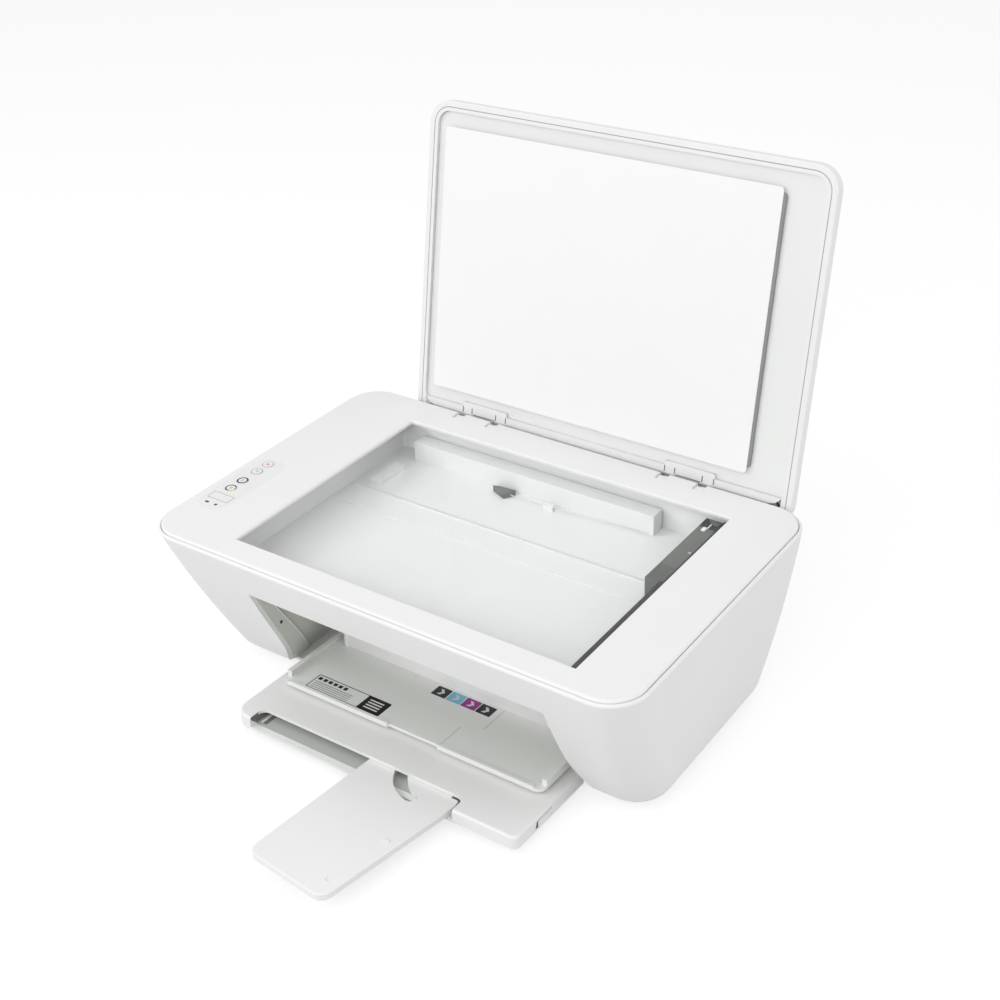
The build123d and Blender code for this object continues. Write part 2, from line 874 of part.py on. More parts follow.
with BuildPart() as scan_sensor:
    with Locations((head_x, glass_y, head_top - sensor_sink)):
        Box(
            sensor_width - 2 * slip,
            2 * (head_reach - sensor_margin - slip),
            sensor_thick + sensor_sink,
            align=on_floor,
        )
keep(scan_sensor, "scan_sensor")

# Control panel: overlay, display, lights, buttons and their board
with BuildPart() as control_overlay:
    with BuildSketch(Plane.XY.offset(deck_top - overlay_thick)):
        with Locations((panel_x, panel_y)):
            SlotOverall(panel_length, panel_width, rotation=90)
        panel_openings(button_clearance, Mode.SUBTRACT)
    extrude(amount=overlay_thick)
keep(control_overlay, "control_overlay")

with BuildPart() as display_module:
    with Locations((panel_x, display_y, board_top)):
        Box(display_width, display_depth, deck_top - board_top, align=on_floor)
    fillet(display_module.edges().filter_by(Axis.Z), display_corner)
keep(display_module, "display_module")

with BuildPart() as indicator_lights:
    with Locations((panel_x, glass_y + light_shift_y, board_top)):
        with GridLocations(light_spacing, 0, 2, 1):
            Cylinder(light_radius, deck_top - board_top, align=on_floor)
keep(indicator_lights, "indicator_lights")

with BuildPart() as panel_board:
    with Locations((panel_x, panel_y, board_top)):
        Box(
            display_width + 2 * board_margin,
            panel_length + 4 * post_radius,
            board_thick,
            align=hung,
        )
    for shift_y in button_shifts_y:
        with Locations((button_x, glass_y + shift_y, board_top)):
            Box(switch_size, switch_size, switch_height - switch_cap, align=on_floor)
            Cylinder(switch_size / 3, switch_height, align=on_floor)
keep(panel_board, "panel_board")

for shift_y, button_name in zip(button_shifts_y, button_names):
    with BuildPart() as button:
        with Locations((button_x, glass_y + shift_y, button_bottom)):
            Cylinder(button_radius, deck_top + button_proud - button_bottom, align=on_floor)
            Cylinder(button_radius + button_flange, button_flange_thick, align=on_floor)
        fillet(button.faces().sort_by(Axis.Z)[-1].edges(), button_edge)
    keep(button, button_name)

# Scanner lid: shell, recessed liner, foam and white pad
lid_middle = (lid_reach - lid_tail) / 2
with BuildPart() as lid_shell:
    with BuildSketch(lid_plane.offset(-lid_lift)):
        with Locations((0, lid_middle)):
            RectangleRounded(lid_width, lid_reach + lid_tail, lid_corner)
    extrude(amount=-lid_thick)
    fillet(lid_shell.faces().sort_by(lid_axis)[0].edges(), lid_edge_round)
    fillet(lid_shell.faces().sort_by(lid_axis)[-1].edges(), lid_lip_round)
    with BuildSketch(lid_plane.offset(-lid_lift)):
        lid_pocket(0)
    extrude(amount=-(lid_thick - lid_skin), mode=Mode.SUBTRACT)
keep(lid_shell, "lid_shell")

with BuildPart() as lid_liner:
    with BuildSketch(lid_plane.offset(-lid_lift - liner_recess)):
        lid_pocket(seat_gap)
    extrude(amount=-(lid_thick - lid_skin - liner_recess))
    with BuildSketch(lid_plane.offset(-lid_lift - liner_recess - liner_thick)):
        lid_pocket(seat_gap + liner_skirt)
    extrude(amount=-(lid_thick - lid_skin - liner_recess - liner_thick), mode=Mode.SUBTRACT)
keep(lid_liner, "lid_liner")

with BuildPart() as pad_foam:
    with BuildSketch(lid_plane.offset(-lid_lift - liner_recess)):
        with Locations((pad_shift_x - lid_shift_x, pad_reach)):
            Rectangle(pad_width - 2 * pad_foam_margin, pad_length - 2 * pad_foam_margin)
    extrude(amount=pad_foam_thick)
keep(pad_foam, "pad_foam")

with BuildPart() as pad_sheet:
    with BuildSketch(lid_plane.offset(-lid_lift - liner_recess + pad_foam_thick)):
        with Locations((pad_shift_x - lid_shift_x, pad_reach)):
            RectangleRounded(pad_width, pad_length, pad_corner)
    extrude(amount=pad_sheet_thick)
keep(pad_sheet, "pad_sheet")

# Lid hinges: tabs on the lid, blocks on the tub's shelves and pins through both
with BuildPart() as lid_hinges:
    for hinge_x in hinge_xs:
        for tab_x in (hinge_x - hinge_tab_shift, hinge_x + hinge_tab_shift):
            with BuildSketch(
                Plane(
                    origin=(tab_x - hinge_tab_width / 2, pivot_y, pivot_z),
                    x_dir=lid_plane.y_dir,
                    z_dir=(1, 0, 0),
                )
            ):
                with Locations((0, -lid_lift)):
                    Rectangle(2 * hinge_boss, lid_lift, align=(Align.CENTER, Align.MIN))
                Circle(hinge_boss)
                Circle(hinge_pin_radius + slip, mode=Mode.SUBTRACT)
            extrude(amount=hinge_tab_width)
keep(lid_hinges, "lid_hinges")

with BuildPart() as hinge_blocks:
    for hinge_x in hinge_xs:
        with BuildSketch(Plane.YZ.offset(hinge_x - hinge_block_width / 2)):
            with Locations((pivot_y, tub_ear_top)):
                Rectangle(2 * hinge_boss, pivot_z - tub_ear_top, align=(Align.CENTER, Align.MIN))
            with Locations((pivot_y, pivot_z)):
                Circle(hinge_boss)
                Circle(hinge_pin_radius + slip, mode=Mode.SUBTRACT)
        extrude(amount=hinge_block_width)
keep(hinge_blocks, "hinge_blocks")

with BuildPart() as hinge_pins:
    for hinge_x in hinge_xs:
        with Locations((hinge_x, pivot_y, pivot_z)):
            Cylinder(hinge_pin_radius, 2 * hinge_tab_shift + hinge_tab_width, rotation=(0, 90, 0))
keep(hinge_pins, "hinge_pins")

# Output tray: two skins with a pocket that the extender swings out of
tray_half = tray_width / 2
tray_front = -(tray_reach - tray_rear)
with BuildPart() as output_tray:
    with BuildSketch(tray_plane):
        with BuildLine():
            FilletPolyline(
                (tray_half, 0),
                (tray_half, tray_front),
                (-tray_half, tray_front),
                (-tray_half, 0),
                radius=(tray_rear_corner, tray_small_corner, tray_corner, tray_rear_corner),
                close=True,
            )
        make_face()
    extrude(amount=-tray_thick)
    fillet(output_tray.faces().sort_by(tray_axis)[-1].edges(), tray_edge_round)
    with BuildSketch(tray_plane.offset(-tray_top_plate)):
        with Locations((arm_local_x - tray_slot_left, -tray_pocket_rear)):
            Rectangle(
                tray_slot_left + tray_pocket_right,
                -tray_pocket_rear - tray_front - tray_lip,
                align=(Align.MIN, Align.MAX),
            )
        with Locations((arm_local_x - tray_slot_left, tray_front)):
            Rectangle(tray_slot_left + tray_slot_right, 2 * tray_lip, align=(Align.MIN, Align.CENTER))
    extrude(amount=-tray_pocket_deep, mode=Mode.SUBTRACT)
    with BuildSketch(tray_plane):
        with Locations((arm_local_x + (tray_slot_right - tray_slot_left) / 2, tray_front)):
            RectangleRounded(tray_slot_right + tray_slot_left, 2 * tray_lip, tray_slot_round)
    extrude(amount=-tray_top_plate, mode=Mode.SUBTRACT)
    with Locations((path_x, bay_floor_y - tray_clear, 0)):
        Box(case_width, case_depth, floor_top + tray_clear, align=low_corner, mode=Mode.SUBTRACT)
    with BuildSketch(tray_plane.offset(-tray_top_plate)):
        with Locations((arm_local_x, arm_local_y)):
            Circle(arm_pivot_radius)
            with PolarLocations(arm_slot_radius, 1, start_angle=arm_stop_angle):
                Circle(arm_stop_radius)
    extrude(amount=-tray_pocket_deep)
    with Locations((path_x, glass_y - tray_rear - tray_pad_length, floor_top + liner_gap)):
        with GridLocations(tray_pad_spread, 0, 2, 1):
            Box(tray_pad_width, tray_pad_length, 2 * tray_clear, align=on_floor)
keep(output_tray, "output_tray")

# Extender arm, swung out past the front of the tray
arm_tip_half = arm_tip_width / 2
arm_half = arm_tip_half + (arm_length - arm_shoulder) * tan(radians(arm_taper))
with BuildLine() as slot_arc:
    CenterArc((0, 0), arm_slot_radius, 270 + arm_slot_from, arm_slot_to - arm_slot_from)
with BuildPart() as tray_extender:
    with BuildSketch(arm_plane):
        with BuildLine():
            FilletPolyline(
                (arm_tail_right, arm_tail),
                (arm_shift + arm_half, -arm_shoulder),
                (arm_shift + arm_tip_half, -arm_length),
                (arm_shift - arm_tip_half, -arm_length),
                (arm_shift - arm_half, -arm_shoulder),
                (-arm_tail_left, arm_tail),
                radius=(*[arm_shoulder_round] * 2, *[arm_tip_round] * 2, *[arm_shoulder_round] * 2),
                close=True,
            )
        make_face()
        Circle(arm_pivot_radius + slip, mode=Mode.SUBTRACT)
        SlotArc(slot_arc.edges()[0], arm_slot_width, mode=Mode.SUBTRACT)
    extrude(amount=-arm_thick)
    fillet(tray_extender.faces().sort_by(tray_axis)[-1].outer_wire().edges(), arm_edge_round)
keep(tray_extender, "tray_extender")

# Cartridge door, lowered: panel, side rails, front lip and hinge arms
door_half = door_width / 2
rail_x = (door_width - door_rail_width) / 2
with BuildPart() as cartridge_door:
    with BuildSketch(door_plane):
        with BuildLine():
            FilletPolyline(
                (door_half, -door_start),
                (door_half, -door_reach),
                (door_notch_right, -door_reach),
                (door_notch_right, -door_reach + door_notch_deep),
                (door_notch_left, -door_reach + door_notch_deep),
                (door_notch_left, -door_reach),
                (-door_half, -door_reach),
                (-door_half, -door_start),
                radius=(0, door_corner, *[door_notch_round] * 4, door_corner, 0),
                close=True,
            )
        make_face()
    extrude(amount=door_thick)
    with BuildSketch(door_plane):
        with GridLocations(2 * rail_x, 0, 2, 1):
            Rectangle(door_rail_width, door_reach - door_corner, align=(Align.CENTER, Align.MAX))
    extrude(amount=door_thick + door_rail_height)
    with BuildSketch(door_plane.offset(door_thick)):
        with Locations(((door_notch_right + door_half - door_corner) / 2, -door_reach)):
            Rectangle(
                door_half - door_corner - door_notch_right,
                door_lip_width,
                align=(Align.CENTER, Align.MIN),
            )
        with Locations(((door_notch_left - door_half + door_corner) / 2, -door_reach)):
            Rectangle(
                door_half - door_corner + door_notch_left,
                door_lip_width,
                align=(Align.CENTER, Align.MIN),
            )
    extrude(amount=door_lip_height)
    with Locations((path_x, door_axis_y, door_axis_z)):
        with GridLocations(2 * rail_x, 0, 2, 1):
            Cylinder(door_boss, door_rail_width, rotation=(0, 90, 0))
        with GridLocations(pin_reach + rail_x, 0, 2, 1):
            Cylinder(door_pin_radius, pin_reach - rail_x, rotation=(0, 90, 0))
    with BuildSketch(door_plane):
        with Locations((0, -door_reach + door_corner + door_rest_width)):
            with GridLocations(door_half, 0, 2, 1):
                Rectangle(door_rest_width, door_rest_width)
    extrude(amount=-(door_lift - door_rest_gap))
keep(cartridge_door, "cartridge_door")

# Side plates that carry the print engine, the left one with the idler's stub
for inner_x, outward, side in ((plate_left, -1, "left"), (plate_right, 1, "right")):
    with BuildPart() as side_plate:
        with BuildSketch(Plane.YZ.offset(inner_x)):
            with BuildLine():
                Polyline(
                    (glass_y + plate_front, floor_top + seat_gap),
                    (glass_y + plate_rear, floor_top + seat_gap),
                    (glass_y + plate_rear, plate_top),
                    (glass_y + plate_slant, plate_top),
                    (glass_y + plate_front, plate_nose),
                    close=True,
                )
            make_face()
            with Locations(feed_centre, output_centre):
                Circle(shaft_radius + slip, mode=Mode.SUBTRACT)
            with Locations(rod_centre):
                Circle(rod_radius + slip, mode=Mode.SUBTRACT)
            if outward < 0:
                with Locations(pinion_centre):
                    Circle(motor_shaft + seat_gap, mode=Mode.SUBTRACT)
        extrude(amount=outward * plate_thick)
        if outward < 0:
            with BuildSketch(Plane.YZ.offset(inner_x)):
                with Locations(idler_centre):
                    Circle(gear_bore)
            extrude(amount=gear_gap + gear_width)
    keep(side_plate, "side_plate_" + side)

# Rollers that move the paper
with BuildPart() as feed_roller:
    with Locations((shaft_left, feed_centre[0], roller_z)):
        Cylinder(shaft_radius, shaft_length, rotation=(0, 90, 0), align=on_floor)
    with Locations((path_x, feed_centre[0], roller_z)):
        Cylinder(feed_radius, 2 * paper_half, rotation=(0, 90, 0))
keep(feed_roller, "feed_roller")

with BuildPart() as output_roller:
    with Locations((shaft_left, output_centre[0], roller_z)):
        Cylinder(shaft_radius, shaft_length, rotation=(0, 90, 0), align=on_floor)
    with Locations((path_x, output_centre[0], roller_z)):
        with GridLocations(2 * paper_half / output_rings, 0, output_rings, 1):
            Cylinder(output_radius, ring_width, rotation=(0, 90, 0))
keep(output_roller, "output_roller")

# Pinch rollers and star wheels, each in the fingers of a fixed bar
pinch_step = 2 * paper_half / pinch_count
star_step = 2 * paper_half / star_count
with BuildPart() as pinch_rollers:
    with Locations((path_x, *pinch_centre)):
        with GridLocations(pinch_step, 0, pinch_count, 1):
            Cylinder(pinch_radius, pinch_length, rotation=(0, 90, 0))
            Cylinder(axle_radius, pinch_length + 2 * (finger_thick + finger_gap), rotation=(0, 90, 0))
keep(pinch_rollers, "pinch_rollers")

with BuildPart() as star_wheels:
    for wheel in range(star_count):
        wheel_x = path_x + (wheel - (star_count - 1) / 2) * star_step
        with BuildSketch(Plane.YZ.offset(wheel_x - star_length / 2)):
            with Locations(star_centre):
                RegularPolygon(star_radius, star_points)
        extrude(amount=star_length)
        with Locations((wheel_x, *star_centre)):
            Cylinder(axle_radius, star_length + 2 * (finger_thick + finger_gap), rotation=(0, 90, 0))
keep(star_wheels, "star_wheels")

with BuildPart() as roller_bars:
    with Locations((plate_left, glass_y + pinch_bar_front, pinch_bar_bottom)):
        Box(plate_right - plate_left, pinch_bar_rear - pinch_bar_front, bar_thick, align=min_corner)
    for place in range(pinch_count):
        roller_x = path_x + (place - (pinch_count - 1) / 2) * pinch_step
        for finger in (-1, 1):
            finger_x = roller_x + finger * (pinch_length / 2 + finger_gap + finger_thick / 2)
            with BuildSketch(Plane.YZ.offset(finger_x - finger_thick / 2)):
                with Locations(pinch_centre):
                    Circle(pinch_radius - seat_gap)
                with BuildLine():
                    Polyline(
                        (pinch_centre[0] - axle_radius, pinch_centre[1]),
                        (glass_y + pinch_bar_front, pinch_bar_bottom + bar_thick),
                        (glass_y + pinch_bar_rear, pinch_bar_bottom + bar_thick),
                        (glass_y + pinch_bar_rear, pinch_bar_bottom),
                        (pinch_centre[0] + pinch_radius, pinch_centre[1]),
                        close=True,
                    )
                make_face()
                with Locations(pinch_centre):
                    Circle(axle_radius + slip, mode=Mode.SUBTRACT)
            extrude(amount=finger_thick)
    with Locations((plate_left, glass_y + star_bar_front, star_bar_bottom)):
        Box(plate_right - plate_left, star_bar_rear - star_bar_front, bar_thick, align=min_corner)
    for wheel in range(star_count):
        wheel_x = path_x + (wheel - (star_count - 1) / 2) * star_step
        for finger in (-1, 1):
            finger_x = wheel_x + finger * (star_length / 2 + finger_gap + finger_thick / 2)
            with BuildSketch(Plane.YZ.offset(finger_x - finger_thick / 2)):
                with Locations(star_centre):
                    Circle(star_radius - seat_gap)
                    Rectangle(
                        2 * (star_radius - seat_gap),
                        star_bar_bottom + bar_thick / 2 - star_centre[1],
                        align=(Align.CENTER, Align.MIN),
                    )
                    Circle(axle_radius + slip, mode=Mode.SUBTRACT)
            extrude(amount=finger_thick)
keep(roller_bars, "roller_bars")

# Gear train at the left plate
feed_phase = 0.0
idler_angle = degrees(atan2(idler_centre[1] - feed_centre[1], idler_centre[0] - feed_centre[0]))
output_angle = degrees(atan2(output_centre[1] - idler_centre[1], output_centre[0] - idler_centre[0]))
idler_phase = mesh_phase(idler_angle, feed_phase, feed_teeth, idler_teeth)
output_phase = mesh_phase(output_angle, idler_phase, idler_teeth, output_teeth)
pinion_phase = mesh_phase(pinion_angle, feed_phase, feed_teeth, pinion_teeth)
wheels = (
    ("feed_gear", feed_teeth, feed_centre, feed_phase, shaft_radius),
    ("idler_gear", idler_teeth, idler_centre, idler_phase, gear_bore),
    ("output_gear", output_teeth, output_centre, output_phase, shaft_radius),
)
for gear_name, teeth, centre, phase, bore in wheels:
    with BuildPart() as gear:
        with BuildSketch(Plane.YZ.offset(gear_x)):
            gear_outline(teeth, centre, phase)
            with Locations(centre):
                Circle(bore + slip, mode=Mode.SUBTRACT)
        extrude(amount=gear_width)
    keep(gear, gear_name)

with BuildPart() as motor_pinion:
    with BuildSketch(Plane.YZ.offset(gear_x)):
        gear_outline(pinion_teeth, pinion_centre, pinion_phase)
    extrude(amount=gear_width)
    with Locations((gear_x, *pinion_centre)):
        Cylinder(
            motor_shaft,
            gear_gap + plate_thick + feed_motor_length / 2,
            rotation=(0, -90, 0),
            align=on_floor,
        )
keep(motor_pinion, "motor_pinion")

with BuildPart() as feed_motor:
    with Locations((shaft_left, *pinion_centre)):
        Cylinder(feed_motor_radius, feed_motor_length, rotation=(0, -90, 0), align=on_floor)
        Cylinder(
            motor_shaft + slip,
            feed_motor_bore,
            rotation=(0, -90, 0),
            align=on_floor,
            mode=Mode.SUBTRACT,
        )
keep(feed_motor, "feed_motor")

# Platen under the print zone
with BuildPart() as platen:
    with Locations((path_x, glass_y + platen_front, floor_top + seat_gap)):
        Box(
            2 * paper_half,
            platen_rear - platen_front,
            platen_top - floor_top - seat_gap,
            align=low_corner,
        )
    with Locations((path_x, glass_y + platen_front + platen_wall, floor_top)):
        Box(
            2 * (paper_half - platen_wall),
            platen_rear - platen_front - 2 * platen_wall,
            platen_top - floor_top - platen_wall,
            align=low_corner,
            mode=Mode.SUBTRACT,
        )
    with Locations((path_x, glass_y + (platen_front + platen_rear) / 2, platen_top)):
        with GridLocations(2 * paper_half / platen_ribs, 0, platen_ribs, 1):
            Box(
                platen_rib, platen_rear - platen_front - 2 * platen_wall, platen_rib, align=on_floor
            )
keep(platen, "platen")

# Carriage on its rod, parked at the right over the service station
with BuildPart() as carriage_rod:
    with Locations((shaft_left, *rod_centre)):
        Cylinder(rod_radius, shaft_length, rotation=(0, 90, 0), align=on_floor)
keep(carriage_rod, "carriage_rod")

pocket_width = (carriage_width - 3 * carriage_wall) / 2
pocket_xs = (
    carriage_x - (pocket_width + carriage_wall) / 2,
    carriage_x + (pocket_width + carriage_wall) / 2,
)
pocket_rear = glass_y + carriage_rear - carriage_back
pocket_floor = carriage_bottom + carriage_wall
pocket_step = carriage_step + carriage_wall
pocket_nose = glass_y + carriage_nose - carriage_wall / 2
pocket_heel = glass_y + carriage_heel - carriage_wall / 2
with BuildPart() as carriage:
    with BuildSketch(Plane.YZ.offset(carriage_x - carriage_width / 2)):
        with BuildLine():
            Polyline(
                (glass_y + carriage_front, carriage_bottom),
                (glass_y + carriage_nose, carriage_bottom),
                (glass_y + carriage_heel, carriage_step),
                (glass_y + carriage_rear, carriage_step),
                (glass_y + carriage_rear, carriage_top),
                (glass_y + carriage_front, carriage_top),
                close=True,
            )
        make_face()
    extrude(amount=carriage_width)
    for pocket_x in pocket_xs:
        with BuildSketch(Plane.YZ.offset(pocket_x - pocket_width / 2)):
            with BuildLine():
                Polyline(
                    (glass_y + carriage_front - carriage_wall, pocket_floor),
                    (pocket_nose, pocket_floor),
                    (pocket_heel, pocket_step),
                    (pocket_rear, pocket_step),
                    (pocket_rear, carriage_top + carriage_wall),
                    (glass_y + carriage_front - carriage_wall, carriage_top + carriage_wall),
                    close=True,
                )
            make_face()
        extrude(amount=pocket_width, mode=Mode.SUBTRACT)
    with Locations((carriage_x, *rod_centre)):
        Cylinder(
            rod_radius + slip, carriage_width, rotation=(0, 90, 0), mode=Mode.SUBTRACT
        )
    with Locations((carriage_x, glass_y + carriage_rear, belt_z - belt_outer - seat_gap)):
        Box(
            clamp_width,
            belt_shift_y + belt_width / 2 - carriage_rear,
            clamp_jaw,
            align=(Align.CENTER, Align.MIN, Align.MAX),
        )
    with Locations((carriage_x, glass_y + carriage_rear, belt_z - belt_outer + belt_thick + seat_gap)):
        Box(
            clamp_width,
            belt_shift_y + belt_width / 2 - carriage_rear,
            clamp_jaw,
            align=low_corner,
        )
keep(carriage, "carriage")

for pocket_x, cartridge_name in zip(pocket_xs, ("black_cartridge", "color_cartridge")):
    with BuildPart() as cartridge:
        with BuildSketch(Plane.YZ.offset(pocket_x - pocket_width / 2 + seat_gap)):
            with BuildLine():
                Polyline(
                    (glass_y + carriage_front + seat_gap, pocket_floor + seat_gap),
                    (pocket_nose - seat_gap, pocket_floor + seat_gap),
                    (pocket_heel - seat_gap, pocket_step + seat_gap),
                    (pocket_rear - seat_gap, pocket_step + seat_gap),
                    (pocket_rear - seat_gap, carriage_top - cartridge_drop),
                    (glass_y + carriage_front - cartridge_grip, carriage_top - cartridge_drop),
                    (glass_y + carriage_front - cartridge_grip, grip_low),
                    (glass_y + carriage_front + seat_gap, grip_low - 2 * cartridge_grip),
                    close=True,
                )
            make_face()
        extrude(amount=pocket_width - 2 * seat_gap)
    keep(cartridge, cartridge_name)

# Belt drive behind the carriage
with BuildPart() as cross_beam:
    with Locations((plate_left, beam_y, belt_z - beam_height / 2)):
        Box(plate_right - plate_left, beam_thick, beam_height, align=min_corner)
    with Locations((pulley_left_x, beam_y, belt_z)):
        Cylinder(motor_shaft + seat_gap, 4 * beam_thick, rotation=(90, 0, 0), mode=Mode.SUBTRACT)
    with Locations((pulley_right_x, beam_y, belt_z)):
        Cylinder(
            gear_bore, beam_y - belt_y + belt_width / 2, rotation=(90, 0, 0), align=on_floor
        )
keep(cross_beam, "cross_beam")

for pulley_x, pulley_name in ((pulley_left_x, "drive_pulley"), (pulley_right_x, "idler_pulley")):
    with BuildPart() as pulley:
        with Locations((pulley_x, belt_y, belt_z)):
            Cylinder(pulley_radius, belt_width + 2 * seat_gap, rotation=(90, 0, 0))
            for rim in (-1, 1):
                with Locations((0, rim * (belt_width + flange_thick + 2 * seat_gap) / 2, 0)):
                    Cylinder(
                        pulley_radius + pulley_flange, flange_thick, rotation=(90, 0, 0)
                    )
            if pulley_name == "idler_pulley":
                Cylinder(gear_bore + slip, 3 * belt_width, rotation=(90, 0, 0), mode=Mode.SUBTRACT)
            else:
                Cylinder(
                    motor_shaft,
                    beam_y + beam_thick + motor_length / 2 - belt_y,
                    rotation=(-90, 0, 0),
                    align=on_floor,
                )
    keep(pulley, pulley_name)

with BuildPart() as carriage_belt:
    with BuildSketch(Plane.XZ.offset(-belt_y - belt_width / 2)):
        with Locations(((pulley_left_x + pulley_right_x) / 2, belt_z)):
            SlotCenterToCenter(pulley_right_x - pulley_left_x, 2 * belt_outer)
            SlotCenterToCenter(
                pulley_right_x - pulley_left_x, 2 * (belt_outer - belt_thick), mode=Mode.SUBTRACT
            )
    extrude(amount=belt_width)
keep(carriage_belt, "carriage_belt")

with BuildPart() as carriage_motor:
    with Locations((pulley_left_x, beam_y + beam_thick, belt_z)):
        Cylinder(motor_radius, motor_length, rotation=(-90, 0, 0), align=on_floor)
        Cylinder(
            motor_shaft + slip,
            motor_bore,
            rotation=(-90, 0, 0),
            align=on_floor,
            mode=Mode.SUBTRACT,
        )
keep(carriage_motor, "carriage_motor")

# Service station that caps the print heads
with BuildPart() as service_station:
    with Locations((station_left, glass_y + station_front, floor_top + seat_gap)):
        Box(
            station_right - station_left,
            station_rear - station_front,
            station_top - floor_top - seat_gap,
            align=min_corner,
        )
    with Locations((station_left + station_wall, glass_y + station_front + station_wall, station_top)):
        Box(
            station_right - station_left - 2 * station_wall,
            station_rear - station_front - 2 * station_wall,
            station_top / 2,
            align=(Align.MIN, Align.MIN, Align.MAX),
            mode=Mode.SUBTRACT,
        )
    station_middle = ((station_left + station_right) / 2, glass_y + (station_front + station_rear) / 2)
    with Locations((*station_middle, station_top)):
        with GridLocations(cap_width + cap_gap, 0, 2, 1):
            Box(cap_width, cap_length, station_top / 2, align=hung)
            Box(cap_width, cap_length, cap_height, align=on_floor)
            Box(
                cap_width - 2 * station_wall, cap_length - 2 * station_wall, 2 * cap_height,
                mode=Mode.SUBTRACT,
            )
keep(service_station, "service_station")

# Rear paper feed: box on the case, chute, pick roller, width guide and paper support
with BuildPart() as rear_cover:
    with BuildSketch(Plane.YZ.offset(path_x - feed_box_width / 2)):
        with BuildLine():
            Polyline(feed_box_points(0), close=True)
        make_face()
    extrude(amount=feed_box_width)
    with BuildSketch(Plane.YZ.offset(path_x - feed_box_width / 2 + feed_box_wall)):
        with BuildLine():
            Polyline(feed_box_points(feed_box_wall), close=True)
        make_face()
    extrude(amount=feed_box_width - 2 * feed_box_wall, mode=Mode.SUBTRACT)
    with Locations((path_x, glass_y + slot_front, feed_box_top)):
        Box(
            feed_box_width - 2 * feed_box_wall,
            feed_box_rear - feed_box_wall - slot_front,
            4 * feed_box_wall,
            align=(Align.CENTER, Align.MIN, Align.CENTER),
            mode=Mode.SUBTRACT,
        )
    add(case_solid(-liner_gap), mode=Mode.SUBTRACT)
    with Locations((path_x, glass_y + feed_box_rear, support_axis_z)):
        with GridLocations(support_width + 2 * seat_gap + support_ear, 0, 2, 1):
            Box(support_ear, support_gap + support_thick, 2 * ear_height, align=side_on)
    with Locations((path_x, support_y, support_axis_z)):
        Cylinder(support_pin_radius + slip, case_width, rotation=(0, 90, 0), mode=Mode.SUBTRACT)
keep(rear_cover, "rear_cover")

with BuildPart() as feed_chute:
    with BuildSketch(chute_plane):
        Rectangle(2 * chute_half, chute_length, align=(Align.CENTER, Align.MIN))
    extrude(amount=-chute_thick)
    for leg in (-1, 1):
        with BuildSketch(Plane.YZ.offset(path_x + leg * chute_leg_spread / 2 - chute_leg_thick / 2)):
            with BuildLine():
                Polyline(
                    (glass_y + chute_start_y, floor_top + seat_gap),
                    (glass_y + chute_leg_rear, floor_top + seat_gap),
                    (glass_y + chute_leg_rear, chute_start_z - chute_thick
                     + (chute_leg_rear - chute_start_y) * tan(radians(chute_slope))),
                    (glass_y + chute_start_y + chute_thick, chute_start_z - chute_thick / 2),
                    (glass_y + chute_start_y, chute_start_z - chute_thick),
                    close=True,
                )
            make_face()
        extrude(amount=chute_leg_thick)
        with BuildSketch(chute_plane):
            with Locations((leg * (chute_half - chute_leg_thick), pick_along)):
                Rectangle(chute_leg_thick, 2 * cheek_half)
        extrude(amount=cheek_height)
    with Locations(chute_plane):
        with Locations((0, pick_along, pick_radius + seat_gap)):
            Cylinder(
                shaft_radius + slip, 2 * case_width, rotation=(0, 90, 0), mode=Mode.SUBTRACT
            )
keep(feed_chute, "feed_chute")

with BuildPart() as pick_roller:
    with Locations(chute_plane):
        with Locations((0, pick_along, pick_radius + seat_gap)):
            Cylinder(shaft_radius, 2 * chute_half - chute_leg_thick, rotation=(0, 90, 0))
            Cylinder(pick_radius, pick_width, rotation=(0, 90, 0))
keep(pick_roller, "pick_roller")

with BuildPart() as paper_width_guide:
    with Locations(chute_plane):
        with Locations((guide_shift_x, guide_along, seat_gap)):
            Box(guide_thick, guide_length, guide_height, align=low_corner)
            Box(guide_foot, guide_length, guide_thick, align=(Align.MAX, Align.MIN, Align.MIN))
keep(paper_width_guide, "paper_width_guide")

with BuildPart() as paper_support:
    with BuildSketch(Plane.XZ.offset(-support_y - support_thick / 2)):
        with Locations((path_x, support_axis_z - support_length)):
            Rectangle(support_width, support_length, align=(Align.CENTER, Align.MIN))
    extrude(amount=support_thick)
    with Locations((path_x, support_y, support_axis_z)):
        Cylinder(support_thick / 2, support_width, rotation=(0, 90, 0))
        Cylinder(
            support_pin_radius,
            support_width + 2 * (seat_gap + support_ear),
            rotation=(0, 90, 0),
        )
keep(paper_support, "paper_support")

# Boards with the two rear sockets
for port_x, board_width, socket_width, socket_height, board_name in (
    (usb_x, main_board_width, usb_width, usb_height, "main_board"),
    (inlet_x, power_board_width, inlet_width, inlet_height, "power_supply"),
):
    with BuildPart() as board:
        with Locations((port_x, port_y, case_floor)):
            Box(board_width, board_thick, board_height, align=(Align.CENTER, Align.MAX, Align.MIN))
        add(case_cavity(case_wall + seat_gap), mode=Mode.INTERSECT)
        with Locations((port_x, port_y - board_thick, board_height / 2)):
            with GridLocations(board_width / 2, 0, 2, 1):
                Box(
                    board_width / 4,
                    switch_size,
                    board_width / 3,
                    align=(Align.CENTER, Align.MAX, Align.CENTER),
                )
        with Locations((port_x, port_y, port_z)):
            Box(socket_width, port_length, socket_height, align=side_on)
            with Locations((0, port_length, 0)):
                Box(
                    socket_width - 2 * socket_wall,
                    port_length,
                    socket_height - 2 * socket_wall,
                    mode=Mode.SUBTRACT,
                )
            with Locations((0, port_length / 2, 0)):
                with GridLocations(socket_width / 3, 0, 2, 1):
                    Cylinder(
                        contact_radius, port_length / 3, rotation=(-90, 0, 0), align=on_floor
                    )
    keep(board, board_name)

